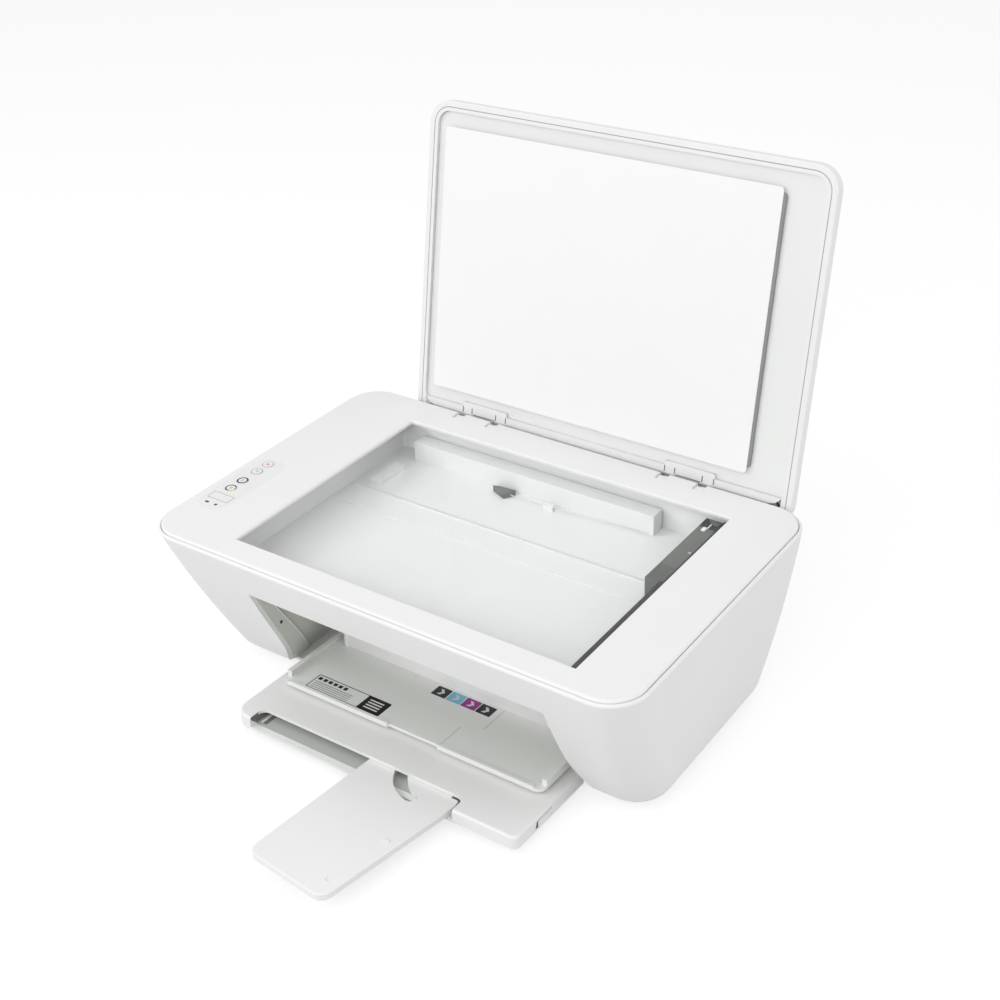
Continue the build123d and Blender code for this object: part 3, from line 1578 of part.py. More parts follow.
# Screws that hold the scan tub to the deck
with BuildPart() as tub_screws:
    with Locations((glass_x, tub_y, tub_ear_top - tub_ear_thick)):
        with GridLocations(tub_width + tub_ear, 2 * ear_spread, 2, 2):
            Cylinder(screw_head_radius, screw_head, align=hung)
            Cylinder(screw_radius, tub_ear_thick + screw_length - seat_gap, align=on_floor)
keep(tub_screws, "tub_screws")

os.makedirs("parts", exist_ok=True)
for piece in finished:
    export_step(piece, f"parts/{piece.label}.step")
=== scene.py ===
import math

import bmesh
import bpy
from mathutils import Matrix, Vector


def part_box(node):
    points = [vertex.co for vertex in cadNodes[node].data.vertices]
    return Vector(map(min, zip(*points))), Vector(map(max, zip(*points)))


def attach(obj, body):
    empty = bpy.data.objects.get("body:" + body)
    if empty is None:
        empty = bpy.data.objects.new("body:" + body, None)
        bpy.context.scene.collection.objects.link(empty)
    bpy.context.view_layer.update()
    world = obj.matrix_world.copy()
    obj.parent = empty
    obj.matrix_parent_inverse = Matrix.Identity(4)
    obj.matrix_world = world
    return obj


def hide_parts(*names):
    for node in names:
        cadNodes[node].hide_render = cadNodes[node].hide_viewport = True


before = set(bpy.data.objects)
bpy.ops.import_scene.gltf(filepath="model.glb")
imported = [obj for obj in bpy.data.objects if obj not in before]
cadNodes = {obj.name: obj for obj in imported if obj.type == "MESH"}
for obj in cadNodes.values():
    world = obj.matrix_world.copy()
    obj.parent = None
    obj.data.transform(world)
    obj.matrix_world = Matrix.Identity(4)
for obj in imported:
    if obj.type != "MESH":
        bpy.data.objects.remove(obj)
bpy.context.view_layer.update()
mm = 0.001
print("frame loaded:", len(cadNodes), "nodes")


# shader groups and the helpers that fill them

def newGroup(name, inputs, outputs):
    tree = bpy.data.node_groups.new(name, "ShaderNodeTree")
    for label, kind, value in inputs:
        socket = tree.interface.new_socket(label, in_out="INPUT", socket_type=kind)
        socket.default_value = value
    for label, kind in outputs:
        tree.interface.new_socket(label, in_out="OUTPUT", socket_type=kind)
    return tree, tree.nodes.new("NodeGroupInput"), tree.nodes.new("NodeGroupOutput")


def addNode(tree, kind, **values):
    node = tree.nodes.new(kind)
    for key, value in values.items():
        if hasattr(node, key):
            setattr(node, key, value)
        else:
            node.inputs[key.replace("_", " ")].default_value = value
    return node


def addMath(tree, operation, first, second):
    node = tree.nodes.new("ShaderNodeMath")
    node.operation = operation
    for socket, value in zip(node.inputs, (first, second)):
        if isinstance(value, (int, float)):
            socket.default_value = value
        else:
            tree.links.new(value, socket)
    return node.outputs[0]


def addRange(tree, value, low, high):
    node = tree.nodes.new("ShaderNodeMapRange")
    tree.links.new(value, node.inputs["Value"])
    for label, end in (("To Min", low), ("To Max", high)):
        if isinstance(end, (int, float)):
            node.inputs[label].default_value = end
        else:
            tree.links.new(end, node.inputs[label])
    return node.outputs["Result"]


def makeMouldedSkin():
    tree, source, sink = newGroup(
        "mouldedSkin",
        (("Tint", "NodeSocketColor", (0.8, 0.8, 0.8, 1)), ("Drift", "NodeSocketFloat", 0.03),
         ("Rough", "NodeSocketFloat", 0.4), ("Grain", "NodeSocketFloat", 1500.0)),
        (("Color", "NodeSocketColor"), ("Roughness", "NodeSocketFloat"), ("Height", "NodeSocketFloat")))
    place = addNode(tree, "ShaderNodeTexCoord").outputs["Object"]
    cloud = addNode(tree, "ShaderNodeTexNoise", Scale=22.0, Detail=3.0)
    grain = addNode(tree, "ShaderNodeTexNoise", Detail=2.0, Roughness=0.6)
    pits = addNode(tree, "ShaderNodeTexVoronoi")
    for texture in (cloud, grain, pits):
        tree.links.new(place, texture.inputs["Vector"])
    tree.links.new(source.outputs["Grain"], grain.inputs["Scale"])
    tree.links.new(source.outputs["Grain"], pits.inputs["Scale"])
    shade = addRange(tree, cloud.outputs["Fac"], addMath(tree, "SUBTRACT", 1.0, source.outputs["Drift"]),
                     addMath(tree, "ADD", 1.0, source.outputs["Drift"]))
    tone = addNode(tree, "ShaderNodeVectorMath", operation="SCALE")
    tree.links.new(source.outputs["Tint"], tone.inputs[0])
    tree.links.new(shade, tone.inputs["Scale"])
    tree.links.new(tone.outputs[0], sink.inputs["Color"])
    sheen = addRange(tree, grain.outputs["Fac"], -0.05, 0.07)
    tree.links.new(addMath(tree, "ADD", source.outputs["Rough"], sheen), sink.inputs["Roughness"])
    relief = addMath(tree, "ADD", grain.outputs["Fac"], addMath(tree, "MULTIPLY", pits.outputs["Distance"], 0.6))
    tree.links.new(relief, sink.inputs["Height"])
    return tree


def makeBrushedMetal():
    tree, source, sink = newGroup(
        "brushedMetal",
        (("Tint", "NodeSocketColor", (0.6, 0.6, 0.6, 1)), ("Rough", "NodeSocketFloat", 0.3),
         ("Along", "NodeSocketVector", (20.0, 900.0, 900.0))),
        (("Color", "NodeSocketColor"), ("Roughness", "NodeSocketFloat"), ("Height", "NodeSocketFloat")))
    place = addNode(tree, "ShaderNodeTexCoord").outputs["Object"]
    stretch = addNode(tree, "ShaderNodeVectorMath", operation="MULTIPLY")
    tree.links.new(place, stretch.inputs[0])
    tree.links.new(source.outputs["Along"], stretch.inputs[1])
    streak = addNode(tree, "ShaderNodeTexNoise", Scale=1.0, Detail=4.0)
    tree.links.new(stretch.outputs[0], streak.inputs["Vector"])
    tone = addNode(tree, "ShaderNodeVectorMath", operation="SCALE")
    tree.links.new(source.outputs["Tint"], tone.inputs[0])
    tree.links.new(addRange(tree, streak.outputs["Fac"], 0.86, 1.1), tone.inputs["Scale"])
    tree.links.new(tone.outputs[0], sink.inputs["Color"])
    spread = addRange(tree, streak.outputs["Fac"], -0.1, 0.12)
    tree.links.new(addMath(tree, "ADD", source.outputs["Rough"], spread), sink.inputs["Roughness"])
    tree.links.new(streak.outputs["Fac"], sink.inputs["Height"])
    return tree


def makeCircuitSkin():
    tree, source, sink = newGroup(
        "circuitSkin",
        (("Mask", "NodeSocketColor", (0.02, 0.12, 0.05, 1)), ("Trace", "NodeSocketColor", (0.06, 0.25, 0.09, 1))),
        (("Color", "NodeSocketColor"), ("Roughness", "NodeSocketFloat"), ("Height", "NodeSocketFloat")))
    place = addNode(tree, "ShaderNodeTexCoord").outputs["Object"]
    tracks = addNode(tree, "ShaderNodeTexBrick", Scale=160.0, Mortar_Size=0.035, offset_frequency=2)
    tree.links.new(place, tracks.inputs["Vector"])
    tracks.inputs["Color1"].default_value = (0, 0, 0, 1)
    tracks.inputs["Color2"].default_value = (0.15, 0.15, 0.15, 1)
    tracks.inputs["Mortar"].default_value = (1, 1, 1, 1)
    blend = addNode(tree, "ShaderNodeMix", data_type="RGBA")
    tree.links.new(tracks.outputs["Color"], blend.inputs[0])
    tree.links.new(source.outputs["Mask"], blend.inputs[6])
    tree.links.new(source.outputs["Trace"], blend.inputs[7])
    tree.links.new(blend.outputs[2], sink.inputs["Color"])
    tree.links.new(addRange(tree, tracks.outputs["Fac"], 0.42, 0.3), sink.inputs["Roughness"])
    tree.links.new(tracks.outputs["Fac"], sink.inputs["Height"])
    return tree


mouldedSkin = makeMouldedSkin()
brushedMetal = makeBrushedMetal()
circuitSkin = makeCircuitSkin()


# materials

def makeMaterial(name, group, settings, bump, **shader):
    material = bpy.data.materials.new(name)
    material.use_nodes = True
    tree = material.node_tree
    surface = tree.nodes["Principled BSDF"]
    skin = tree.nodes.new("ShaderNodeGroup")
    skin.node_tree = group
    for label, value in settings.items():
        skin.inputs[label].default_value = value
    tree.links.new(skin.outputs["Color"], surface.inputs["Base Color"])
    tree.links.new(skin.outputs["Roughness"], surface.inputs["Roughness"])
    relief = tree.nodes.new("ShaderNodeBump")
    relief.inputs["Strength"].default_value = bump[0]
    relief.inputs["Distance"].default_value = bump[1] * mm
    tree.links.new(skin.outputs["Height"], relief.inputs["Height"])
    tree.links.new(relief.outputs["Normal"], surface.inputs["Normal"])
    for label, value in shader.items():
        surface.inputs[label.replace("_", " ")].default_value = value
    return material


def plastic(name, tint, rough, drift=0.015, grain=1500.0, bump=(0.1, 0.02), **shader):
    settings = {"Tint": (*tint, 1), "Drift": drift, "Rough": rough, "Grain": grain}
    return makeMaterial(name, mouldedSkin, settings, bump, **shader)


def metal(name, tint, rough, along=(20.0, 900.0, 900.0)):
    settings = {"Tint": (*tint, 1), "Rough": rough, "Along": along}
    return makeMaterial(name, brushedMetal, settings, (0.08, 0.02), Metallic=1.0)


looks = {
    "white_plastic": plastic("whitePlastic", (0.84, 0.845, 0.84), 0.46),
    "inner_white": plastic("innerWhite", (0.82, 0.83, 0.82), 0.48),
    "bay_grey": plastic("bayGrey", (0.82, 0.83, 0.81), 0.5),
    "dark_plastic": plastic("darkPlastic", (0.022, 0.024, 0.023), 0.45, drift=0.06),
    "tub_plastic": plastic("tubPlastic", (0.755, 0.76, 0.757), 0.55),
    "sensor_lens": plastic("sensorLens", (0.02, 0.025, 0.025), 0.12, Coat_Weight=0.6),
    "overlay_grey": plastic("overlayGrey", (0.81, 0.815, 0.815), 0.48),
    "display_plastic": plastic("displayPlastic", (0.80, 0.81, 0.805), 0.22, Coat_Weight=0.3),
    "lens_clear": plastic("lensClear", (0.03, 0.032, 0.032), 0.25, Coat_Weight=0.2),
    "button_plastic": plastic("buttonPlastic", (0.82, 0.825, 0.82), 0.35),
    "board_green": makeMaterial("boardGreen", circuitSkin, {}, (0.3, 0.05)),
    "pad_white": plastic("padWhite", (0.91, 0.91, 0.91), 0.5, drift=0.006),
    # the foam's grey, darkened to serve as painted shadow beside the pad
    "foam_grey": plastic("foamAndShadowGrey", (0.30, 0.31, 0.305), 0.9, drift=0.08, grain=2600.0, bump=(0.7, 0.2)),
    "steel": metal("steel", (0.62, 0.62, 0.61), 0.26),
    "sheet_steel": metal("sheetSteel", (0.55, 0.56, 0.56), 0.4, (30.0, 700.0, 700.0)),
    "roller_rubber": plastic("rollerRubber", (0.03, 0.03, 0.032), 0.75, drift=0.15, bump=(0.4, 0.05)),
    "gear_plastic": plastic("gearPlastic", (0.72, 0.71, 0.66), 0.4),
    "brass": metal("brass", (0.70, 0.50, 0.22), 0.3),
    "cartridge_black": plastic("cartridgeBlack", (0.03, 0.03, 0.033), 0.45, drift=0.08),
    "cartridge_grey": plastic("cartridgeGrey", (0.35, 0.36, 0.38), 0.45),
    "foot_rubber": plastic("footRubber", (0.06, 0.06, 0.06), 0.85, drift=0.15, bump=(0.5, 0.05)),
}
nodeLooks = {   # nodes whose finish differs from their slot's
    "scan_head": plastic("headGrey", (0.135, 0.142, 0.134), 0.5, drift=0.05),
    "head_front": plastic("headFrontGrey", (0.10, 0.105, 0.098), 0.5, drift=0.05),
    "bay_liner": plastic("linerGrey", (0.74, 0.76, 0.70), 0.5),
}
# prints and seams; some of these also serve as painted shade in the tray's slot and pocket
inks = {
    "black": plastic("inkBlack", (0.012, 0.012, 0.014), 0.45),
    "dark": plastic("inkAndShadeDark", (0.07, 0.072, 0.072), 0.5),
    "grey": plastic("inkGrey", (0.36, 0.37, 0.37), 0.5),
    "pale": plastic("inkPale", (0.62, 0.63, 0.63), 0.5),
    "navy": plastic("inkNavy", (0.03, 0.045, 0.13), 0.45),
    "yellow": plastic("inkYellow", (0.85, 0.58, 0.05), 0.45),
    "orange": plastic("inkOrange", (0.72, 0.22, 0.08), 0.45),
    "pink": plastic("inkPink", (0.70, 0.40, 0.42), 0.45),
    "red": plastic("inkRed", (0.35, 0.06, 0.08), 0.45),
    "magenta": plastic("inkMagenta", (0.30, 0.02, 0.25), 0.4),
    "cyan": plastic("inkCyan", (0.18, 0.48, 0.66), 0.4),
    "paper": plastic("labelPaper", (0.80, 0.81, 0.79), 0.55),
    # grey for the door's seams, and for the painted shade on the floor of the tray's pocket
    "pocket": plastic("seamAndShadeGrey", (0.46, 0.48, 0.45), 0.6),
    "seam": plastic("seamShadow", (0.16, 0.165, 0.16), 0.8),
    "shade": plastic("shadeGrey", (0.17, 0.176, 0.166), 0.7),
}
glass = {"tint": (0.996, 1.0, 0.998), "rough": 0.01, "bend": 1.16, "shadowTint": (0.96, 0.97, 0.965, 1)}


def makeGlass():
    material = plastic("scanGlass", glass["tint"], 0.0, drift=0.0)
    tree = material.node_tree
    surface = tree.nodes["Principled BSDF"]
    for link in list(surface.inputs["Roughness"].links) + list(surface.inputs["Normal"].links):
        tree.links.remove(link)
    surface.inputs["Roughness"].default_value = glass["rough"]
    surface.inputs["Transmission Weight"].default_value = 1.0
    surface.inputs["IOR"].default_value = glass["bend"]
    clear = addNode(tree, "ShaderNodeBsdfTransparent")   # lamps reach the bed below
    clear.inputs["Color"].default_value = glass["shadowTint"]
    path = addNode(tree, "ShaderNodeLightPath")
    either = addNode(tree, "ShaderNodeMixShader")
    tree.links.new(path.outputs["Is Shadow Ray"], either.inputs[0])
    tree.links.new(surface.outputs[0], either.inputs[1])
    tree.links.new(clear.outputs[0], either.inputs[2])
    tree.links.new(either.outputs[0], tree.nodes["Material Output"].inputs["Surface"])
    return material


looks["scan_glass"] = makeGlass()
for nodeName, node in cadNodes.items():
    for materialSlot in node.material_slots:
        slotName = materialSlot.material.name.split(".")[0]
        if nodeName in nodeLooks:
            materialSlot.material = nodeLooks[nodeName]
        elif slotName in looks:
            materialSlot.material = looks[slotName]
        else:
            print("no look for", nodeName, slotName)
print("materials set")


# pieces drawn as flat outlines on a plane, in mm

def planeAt(origin, tiltDegrees=0.0):
    turn = Matrix.Rotation(math.radians(tiltDegrees), 4, "X")
    return Matrix.Translation(Vector(origin) * mm) @ turn @ Matrix.Scale(mm, 4)


def raised(plane, height):
    return plane @ Matrix.Translation((0, 0, height))


def barLoop(x, y, width, height):
    return [(x - width / 2, y - height / 2), (x + width / 2, y - height / 2),
            (x + width / 2, y + height / 2), (x - width / 2, y + height / 2)]


def roundedRect(x, y, width, height, radius, steps=6):
    points = []
    for corner, (signX, signY) in enumerate(((1, 1), (-1, 1), (-1, -1), (1, -1))):
        for step in range(steps + 1):
            angle = math.radians(90 * (corner + step / steps))
            points.append((x + signX * (width / 2 - radius) + radius * math.cos(angle),
                           y + signY * (height / 2 - radius) + radius * math.sin(angle)))
    return points


def arcLoop(x, y, inner, outer, start, end, steps=40):
    turns = [math.radians(start + (end - start) * step / steps) for step in range(steps + 1)]
    return ([(x + outer * math.cos(turn), y + outer * math.sin(turn)) for turn in turns]
            + [(x + inner * math.cos(turn), y + inner * math.sin(turn)) for turn in reversed(turns)])


def ringLoops(x, y, inner, outer):
    return [arcLoop(x, y, 0, radius, 0, 354, 59)[:60] for radius in (inner, outer)]


def frameLoops(x, y, width, height, radius, line):
    return [roundedRect(x, y, width, height, radius),
            roundedRect(x, y, width - 2 * line, height - 2 * line, max(radius - line, 0.05))]


def discLoop(x, y, radius, steps, fullness=0.99):
    return roundedRect(x, y, 2 * radius, 2 * radius, fullness * radius, steps)


def turnLoop(loop, x, y, degrees):
    turn = Matrix.Rotation(math.radians(degrees), 2)
    return [tuple(turn @ Vector((px - x, py - y)) + Vector((x, y))) for px, py in loop]


def bakedMesh(holder):   # plain mesh of a curve or of an object with its modifiers
    bpy.context.scene.collection.objects.link(holder)
    bpy.context.view_layer.update()
    mesh = bpy.data.meshes.new_from_object(holder.evaluated_get(bpy.context.evaluated_depsgraph_get()))
    bpy.data.objects.remove(holder)
    return mesh


def addSpline(curve, places, closed):
    spline = curve.splines.new("POLY")
    spline.points.add(len(places) - 1)
    for point, place in zip(spline.points, places):
        point.co = (*place, 1)
    spline.use_cyclic_u = closed


def flatMesh(name, loops, plane, thickness, edge=0.0):
    curve = bpy.data.curves.new(name, "CURVE")
    curve.dimensions = "2D"
    curve.fill_mode = "BOTH"
    curve.extrude = thickness / 2 - edge
    curve.bevel_depth = edge
    curve.offset = -edge
    curve.bevel_resolution = 2
    for loop in loops:
        addSpline(curve, [(x, y, 0) for x, y in loop], True)
    mesh = bakedMesh(bpy.data.objects.new(name + "Curve", curve))
    bpy.data.curves.remove(curve)
    mesh.transform(plane @ Matrix.Translation((0, 0, thickness / 2)))
    return mesh


def wireMesh(name, path, radius):
    curve = bpy.data.curves.new(name, "CURVE")
    curve.dimensions = "3D"
    curve.bevel_depth = radius * mm
    curve.bevel_resolution = 3
    curve.use_fill_caps = True
    addSpline(curve, [Vector(place) * mm for place in path], False)
    mesh = bakedMesh(bpy.data.objects.new(name + "Curve", curve))
    bpy.data.curves.remove(curve)
    return mesh


def addPiece(name, mesh, body, look):
    piece = bpy.data.objects.new(name, mesh)
    bpy.context.scene.collection.objects.link(piece)
    mesh.materials.clear()
    mesh.materials.append(look)
    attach(piece, body)
    return piece


def flatPiece(name, loops, plane, thickness, body, look, edge=0.0):
    return addPiece(name, flatMesh(name, loops, plane, thickness, edge), body, look)


# one shape repeated along a line

def makeRepeatTree():
    tree = bpy.data.node_groups.new("repeatAlong", "GeometryNodeTree")
    for label, kind in (("Geometry", "NodeSocketGeometry"), ("Count", "NodeSocketInt"),
                        ("Step", "NodeSocketVector"), ("Look", "NodeSocketMaterial")):
        tree.interface.new_socket(label, in_out="INPUT", socket_type=kind)
    tree.interface.new_socket("Geometry", in_out="OUTPUT", socket_type="NodeSocketGeometry")
    source, sink = tree.nodes.new("NodeGroupInput"), tree.nodes.new("NodeGroupOutput")
    line = tree.nodes.new("GeometryNodeMeshLine")
    copies = tree.nodes.new("GeometryNodeInstanceOnPoints")
    plain = tree.nodes.new("GeometryNodeRealizeInstances")
    paint = tree.nodes.new("GeometryNodeSetMaterial")
    for start, end in ((source.outputs["Count"], line.inputs["Count"]),
                       (source.outputs["Step"], line.inputs["Offset"]),
                       (line.outputs["Mesh"], copies.inputs["Points"]),
                       (source.outputs["Geometry"], copies.inputs["Instance"]),
                       (copies.outputs["Instances"], plain.inputs["Geometry"]),
                       (plain.outputs["Geometry"], paint.inputs["Geometry"]),
                       (source.outputs["Look"], paint.inputs["Material"]),
                       (paint.outputs["Geometry"], sink.inputs["Geometry"])):
        tree.links.new(start, end)
    return tree


repeatTree = makeRepeatTree()


def repeatPiece(name, mesh, count, step, body, look):
    holder = bpy.data.objects.new(name + "One", mesh)
    modifier = holder.modifiers.new("repeatAlong", "NODES")
    modifier.node_group = repeatTree
    values = {"Count": count, "Step": step, "Look": look}
    for item in repeatTree.interface.items_tree:
        if item.in_out == "INPUT" and item.name in values:
            modifier[item.identifier] = values[item.name]
    return addPiece(name, bakedMesh(holder), body, look)


# control panel print

ink = 0.06       # thickness of a print
hairline = 0.05  # thickness of a drawn line
patch = 0.1      # thickness of a shaded patch
sunk = 0.01      # how far a print sits in the face below it
buttonPrint = {
    "color_copy_button": {"body": "color_copy", "ring": (3.45, 4.55), "glyph": "page", "glyphInk": "grey",
                          "arcs": (("navy", 50, 285), ("yellow", 287, 350), ("orange", -8, 48))},
    "black_copy_button": {"body": "black_copy", "ring": (3.35, 4.55), "glyph": "page", "glyphInk": "grey",
                          "arcs": (("black", 0, 359.9),)},
    "link_button": {"body": "link", "ring": (4.05, 4.55), "glyph": "waves", "glyphInk": "grey",
                    "arcs": (("grey", 0, 359.9),)},
    "cancel_button": {"body": "cancel", "ring": (4.05, 4.55), "glyph": "cross", "glyphInk": "red",
                      "arcs": (("pink", 0, 359.9),)},
}
glyphs = {"page": {"frame": (2.4, 3.1, 0.3, 0.35), "line": (1.1, 0.35), "rises": (0.5, -0.35)},
          "waves": {"foot": -1.3, "radii": (0.7, 1.6, 2.5), "line": 0.4, "span": (45, 135), "steps": 12},
          "cross": {"half": 0.3, "reach": 1.7, "turn": 45}}
panelPrint = {"inset": 0.1, "round": 1.4, "line": 0.45, "markInset": 0.9, "longMark": (4.0, 2.3, 1.1),
              "longHole": (1.3, 1.3, 0.64), "roundMark": (0.65, 1.35)}


def glyphLoops(kind, x, y):
    spec = glyphs[kind]
    if kind == "page":
        lines = [barLoop(x, y + rise, *spec["line"]) for rise in spec["rises"]]
        return frameLoops(x, y, *spec["frame"]) + lines
    if kind == "waves":
        return [arcLoop(x, y + spec["foot"], radius, radius + spec["line"], *spec["span"], spec["steps"])
                for radius in spec["radii"]]
    near, far = spec["half"], spec["reach"]
    cross = [(near, near), (near, far), (-near, far), (-near, near), (-far, near), (-far, -near),
             (-near, -near), (-near, -far), (near, -far), (near, -near), (far, -near), (far, near)]
    return [turnLoop([(x + dx, y + dy) for dx, dy in cross], x, y, spec["turn"])]


def makeButtonPrint():
    for nodeName, spec in buttonPrint.items():
        low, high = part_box(nodeName)
        x, y = (low[0] + high[0]) / 2 / mm, (low[1] + high[1]) / 2 / mm
        plane = planeAt((0, 0, high[2] / mm - sunk))
        for inkName, start, end in spec["arcs"]:
            flatPiece(f"{nodeName}-{inkName}Ring", [arcLoop(x, y, *spec["ring"], start, end)], plane, ink,
                      spec["body"], inks[inkName])
        flatPiece(nodeName + "-glyph", glyphLoops(spec["glyph"], x, y), plane, ink,
                  spec["body"], inks[spec["glyphInk"]])


def makePanelPrint():
    low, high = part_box("display_module")
    x, y = (low[0] + high[0]) / 2 / mm, (low[1] + high[1]) / 2 / mm
    plane = planeAt((0, 0, high[2] / mm - sunk))
    width, depth = ((high[axis] - low[axis]) / mm - 2 * panelPrint["inset"] for axis in (0, 1))
    flatPiece("displayFrame", frameLoops(x, y, width, depth, panelPrint["round"], panelPrint["line"]), plane, ink,
              "printer", inks["grey"])
    low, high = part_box("indicator_lights")
    y = (low[1] + high[1]) / 2 / mm
    left, right = low[0] / mm + panelPrint["markInset"], high[0] / mm - panelPrint["markInset"]
    longMark = [roundedRect(left, y, *panelPrint[key]) for key in ("longMark", "longHole")]
    for name, loops in (("Long", longMark), ("Round", ringLoops(right, y, *panelPrint["roundMark"]))):
        flatPiece("lightMark" + name, loops, plane, ink, "printer", inks["dark"])


makeButtonPrint()
makePanelPrint()
print("panel printed")


# labels and seams on the lowered door

doorPlane = planeAt((9.5, 16.73, 13.0), -2.5)
doorTop = raised(doorPlane, 2.59)
paper = 0.08   # thickness of a label
plainLabel = {"centre": (-64.2, -79.4), "size": (71.5, 18.5), "round": 1.6, "border": 0.3, "line": 0.7, "block": 21.0,
              "bars": (24.75, -4.5, 13.0, 1.3), "squares": (-31.5, 4.8, 3.4, 3.4), "lines": (-14.5, -6.4, 37.0, 0.8)}
colourLabel = {"centre": (13.4, -36.6), "size": (55.0, 11.5), "gap": 0.7, "tiles": ("black", "cyan", "magenta", "black"),
               "chevron": ((-2.6, -3.4), (0.2, -3.4), (2.8, 0), (0.2, 3.4), (-2.6, 3.4), (0, 0))}
doorSeams = ((30.0, -77.0, 0.5, 26.0), (46.0, -43.0, 0.5, 27.0))   # middle, width and length
doorWall = {"half": 110.0, "front": -28.3, "thick": 2.5, "height": 16.0, "post": 5.0, "proud": 0.7, "foot": -0.05,
            "edge": 0.3}


def makePlainLabel():
    x, y = plainLabel["centre"]
    width, height = plainLabel["size"]
    block, border = plainLabel["block"], plainLabel["border"]
    flatPiece("plainLabel", [roundedRect(x, y, width, height, plainLabel["round"])], doorTop, paper,
              "door", inks["paper"])
    face = raised(doorTop, paper - sunk)
    edging = frameLoops(x, y, width - 2 * border, height - 2 * border, plainLabel["round"] - border, plainLabel["line"])
    flatPiece("plainLabelFrame", edging, face, ink, "door", inks["black"])
    blockX = x + width / 2 - 2 * border - block / 2
    flatPiece("plainLabelBlock", [roundedRect(blockX, y, block, height - 4 * border, 1.0)], face, ink,
              "door", inks["black"])
    dx, dy, long, tall = plainLabel["bars"]
    bars = flatMesh("blockBar", [barLoop(x + dx, y + dy, long, tall)], raised(face, ink - sunk), ink)
    repeatPiece("plainLabelBlockBars", bars, 4, (0, 3.0 * mm, 0), "door", inks["paper"])
    dx, dy, long, tall = plainLabel["squares"]
    squares = flatMesh("smallSquare", [roundedRect(x + dx, y + dy, long, tall, 0.4)], face, ink)
    repeatPiece("plainLabelSquares", squares, 6, (5.0 * mm, 0, 0), "door", inks["black"])
    dx, dy, long, tall = plainLabel["lines"]
    lines = flatMesh("textLine", [barLoop(x + dx, y + dy, long, tall)], face, ink)
    repeatPiece("plainLabelLines", lines, 4, (0, 2.2 * mm, 0), "door", inks["grey"])


def makeColourLabel():
    x, y = colourLabel["centre"]
    width, height = colourLabel["size"]
    pitch = width / len(colourLabel["tiles"])
    for place, colour in enumerate(colourLabel["tiles"]):
        centre = x - width / 2 + pitch * (place + 0.5)
        flatPiece(f"colourTile-{place}", [roundedRect(centre, y, pitch - colourLabel["gap"], height, 0.6)], doorTop, paper,
                  "door", inks[colour])
    shape = [(x - width / 2 + pitch / 2 + dx, y + dy) for dx, dy in colourLabel["chevron"]]
    repeatPiece("colourTileChevrons", flatMesh("chevron", [shape], raised(doorTop, paper - sunk), ink),
                len(colourLabel["tiles"]), (pitch * mm, 0, 0), "door", inks["pale"])


def makeDoorWall():   # wall across the rear of the door, with a post at each end, in the pad's whiter plastic as painted light against the bay's shade
    half, front = doorWall["half"], doorWall["front"]
    inner, proud, rear = half - doorWall["post"], front - doorWall["proud"], front + doorWall["thick"]
    outline = [(-half, proud), (-inner, proud), (-inner, front), (inner, front), (inner, proud), (half, proud),
               (half, rear), (-half, rear)]
    flatPiece("doorWall", [outline], raised(doorTop, doorWall["foot"]), doorWall["height"],
              "door", looks["pad_white"], doorWall["edge"])


makePlainLabel()
makeColourLabel()
makeDoorWall()
for place, seam in enumerate(doorSeams):
    flatPiece(f"doorSeam-{place}", [barLoop(*seam)], doorTop, hairline, "door", inks["pocket"])
print("door labelled")


# tray catch and marks on the extender

trayPlane = planeAt((9.5, -19.27, 12.2), -2.5)
sideways = Matrix(((0, 0, 1, 0), (1, 0, 0, 0), (0, 1, 0, 0), (0, 0, 0, 1)))   # a plane that faces right
traySide = trayPlane @ Matrix.Translation((129.5, 0, 0)) @ sideways
trayCatch = {"middle": (-66.5, -5.9), "size": (16.0, 4.6), "round": 0.7, "foot": -0.1, "thick": 0.5, "edge": 0.2,
             "slit": 0.45, "slitShift": 0.6, "slitPast": 2.0, "pocket": ((-3.4, -2.9), (-0.3, -2.9), (-0.3, 2.6), (-1.6, 2.6))}
armTop = raised(trayPlane, -3.01)
armBump = {"outline": (55.5, -149.3, 6.2, 3.2, 1.536), "thick": 0.9, "edge": 0.42}
armCorner = {"place": (47.0, -199.6), "size": 3.4, "line": 0.5}
slotShade = {"centre": (70.0, -93.0), "outer": 6.3, "inner": 4.3, "left": 66.0, "front": -100.5, "height": -2.9}


def makeTrayCatch():
    x, y = trayCatch["middle"]
    length, height = trayCatch["size"]
    slit = trayCatch["slit"]
    flatPiece("trayCatch", [roundedRect(x, y, length, height, trayCatch["round"])], raised(traySide, trayCatch["foot"]),
              trayCatch["thick"], "printer", looks["white_plastic"], trayCatch["edge"])
    face = raised(traySide, -2 * sunk)
    line = barLoop(x + trayCatch["slitShift"], y - height / 2 - slit / 2, length + trayCatch["slitPast"], slit)
    repeatPiece("catchSlits", flatMesh("catchSlit", [line], face, hairline), 2, (0, 0, (height + slit) * mm),
                "printer", inks["seam"])
    pocket = [(x - length / 2 + dx, y + dy) for dx, dy in trayCatch["pocket"]]
    flatPiece("catchPocket", [pocket], face, ink, "printer", inks["black"])


def makeArmMarks():
    flatPiece("armBump", [roundedRect(*armBump["outline"])], armTop, armBump["thick"],
              "extender", looks["white_plastic"], armBump["edge"])
    x, y = armCorner["place"]
    size, line = armCorner["size"], armCorner["line"]
    left, low = x - size / 2, y - size / 2
    corner = [(left, low), (left + size, low), (left + size, low + line), (left + line, low + line),
              (left + line, low + size), (left, low + size)]
    flatPiece("armCornerMark", [corner], armTop, hairline, "extender", inks["pale"])


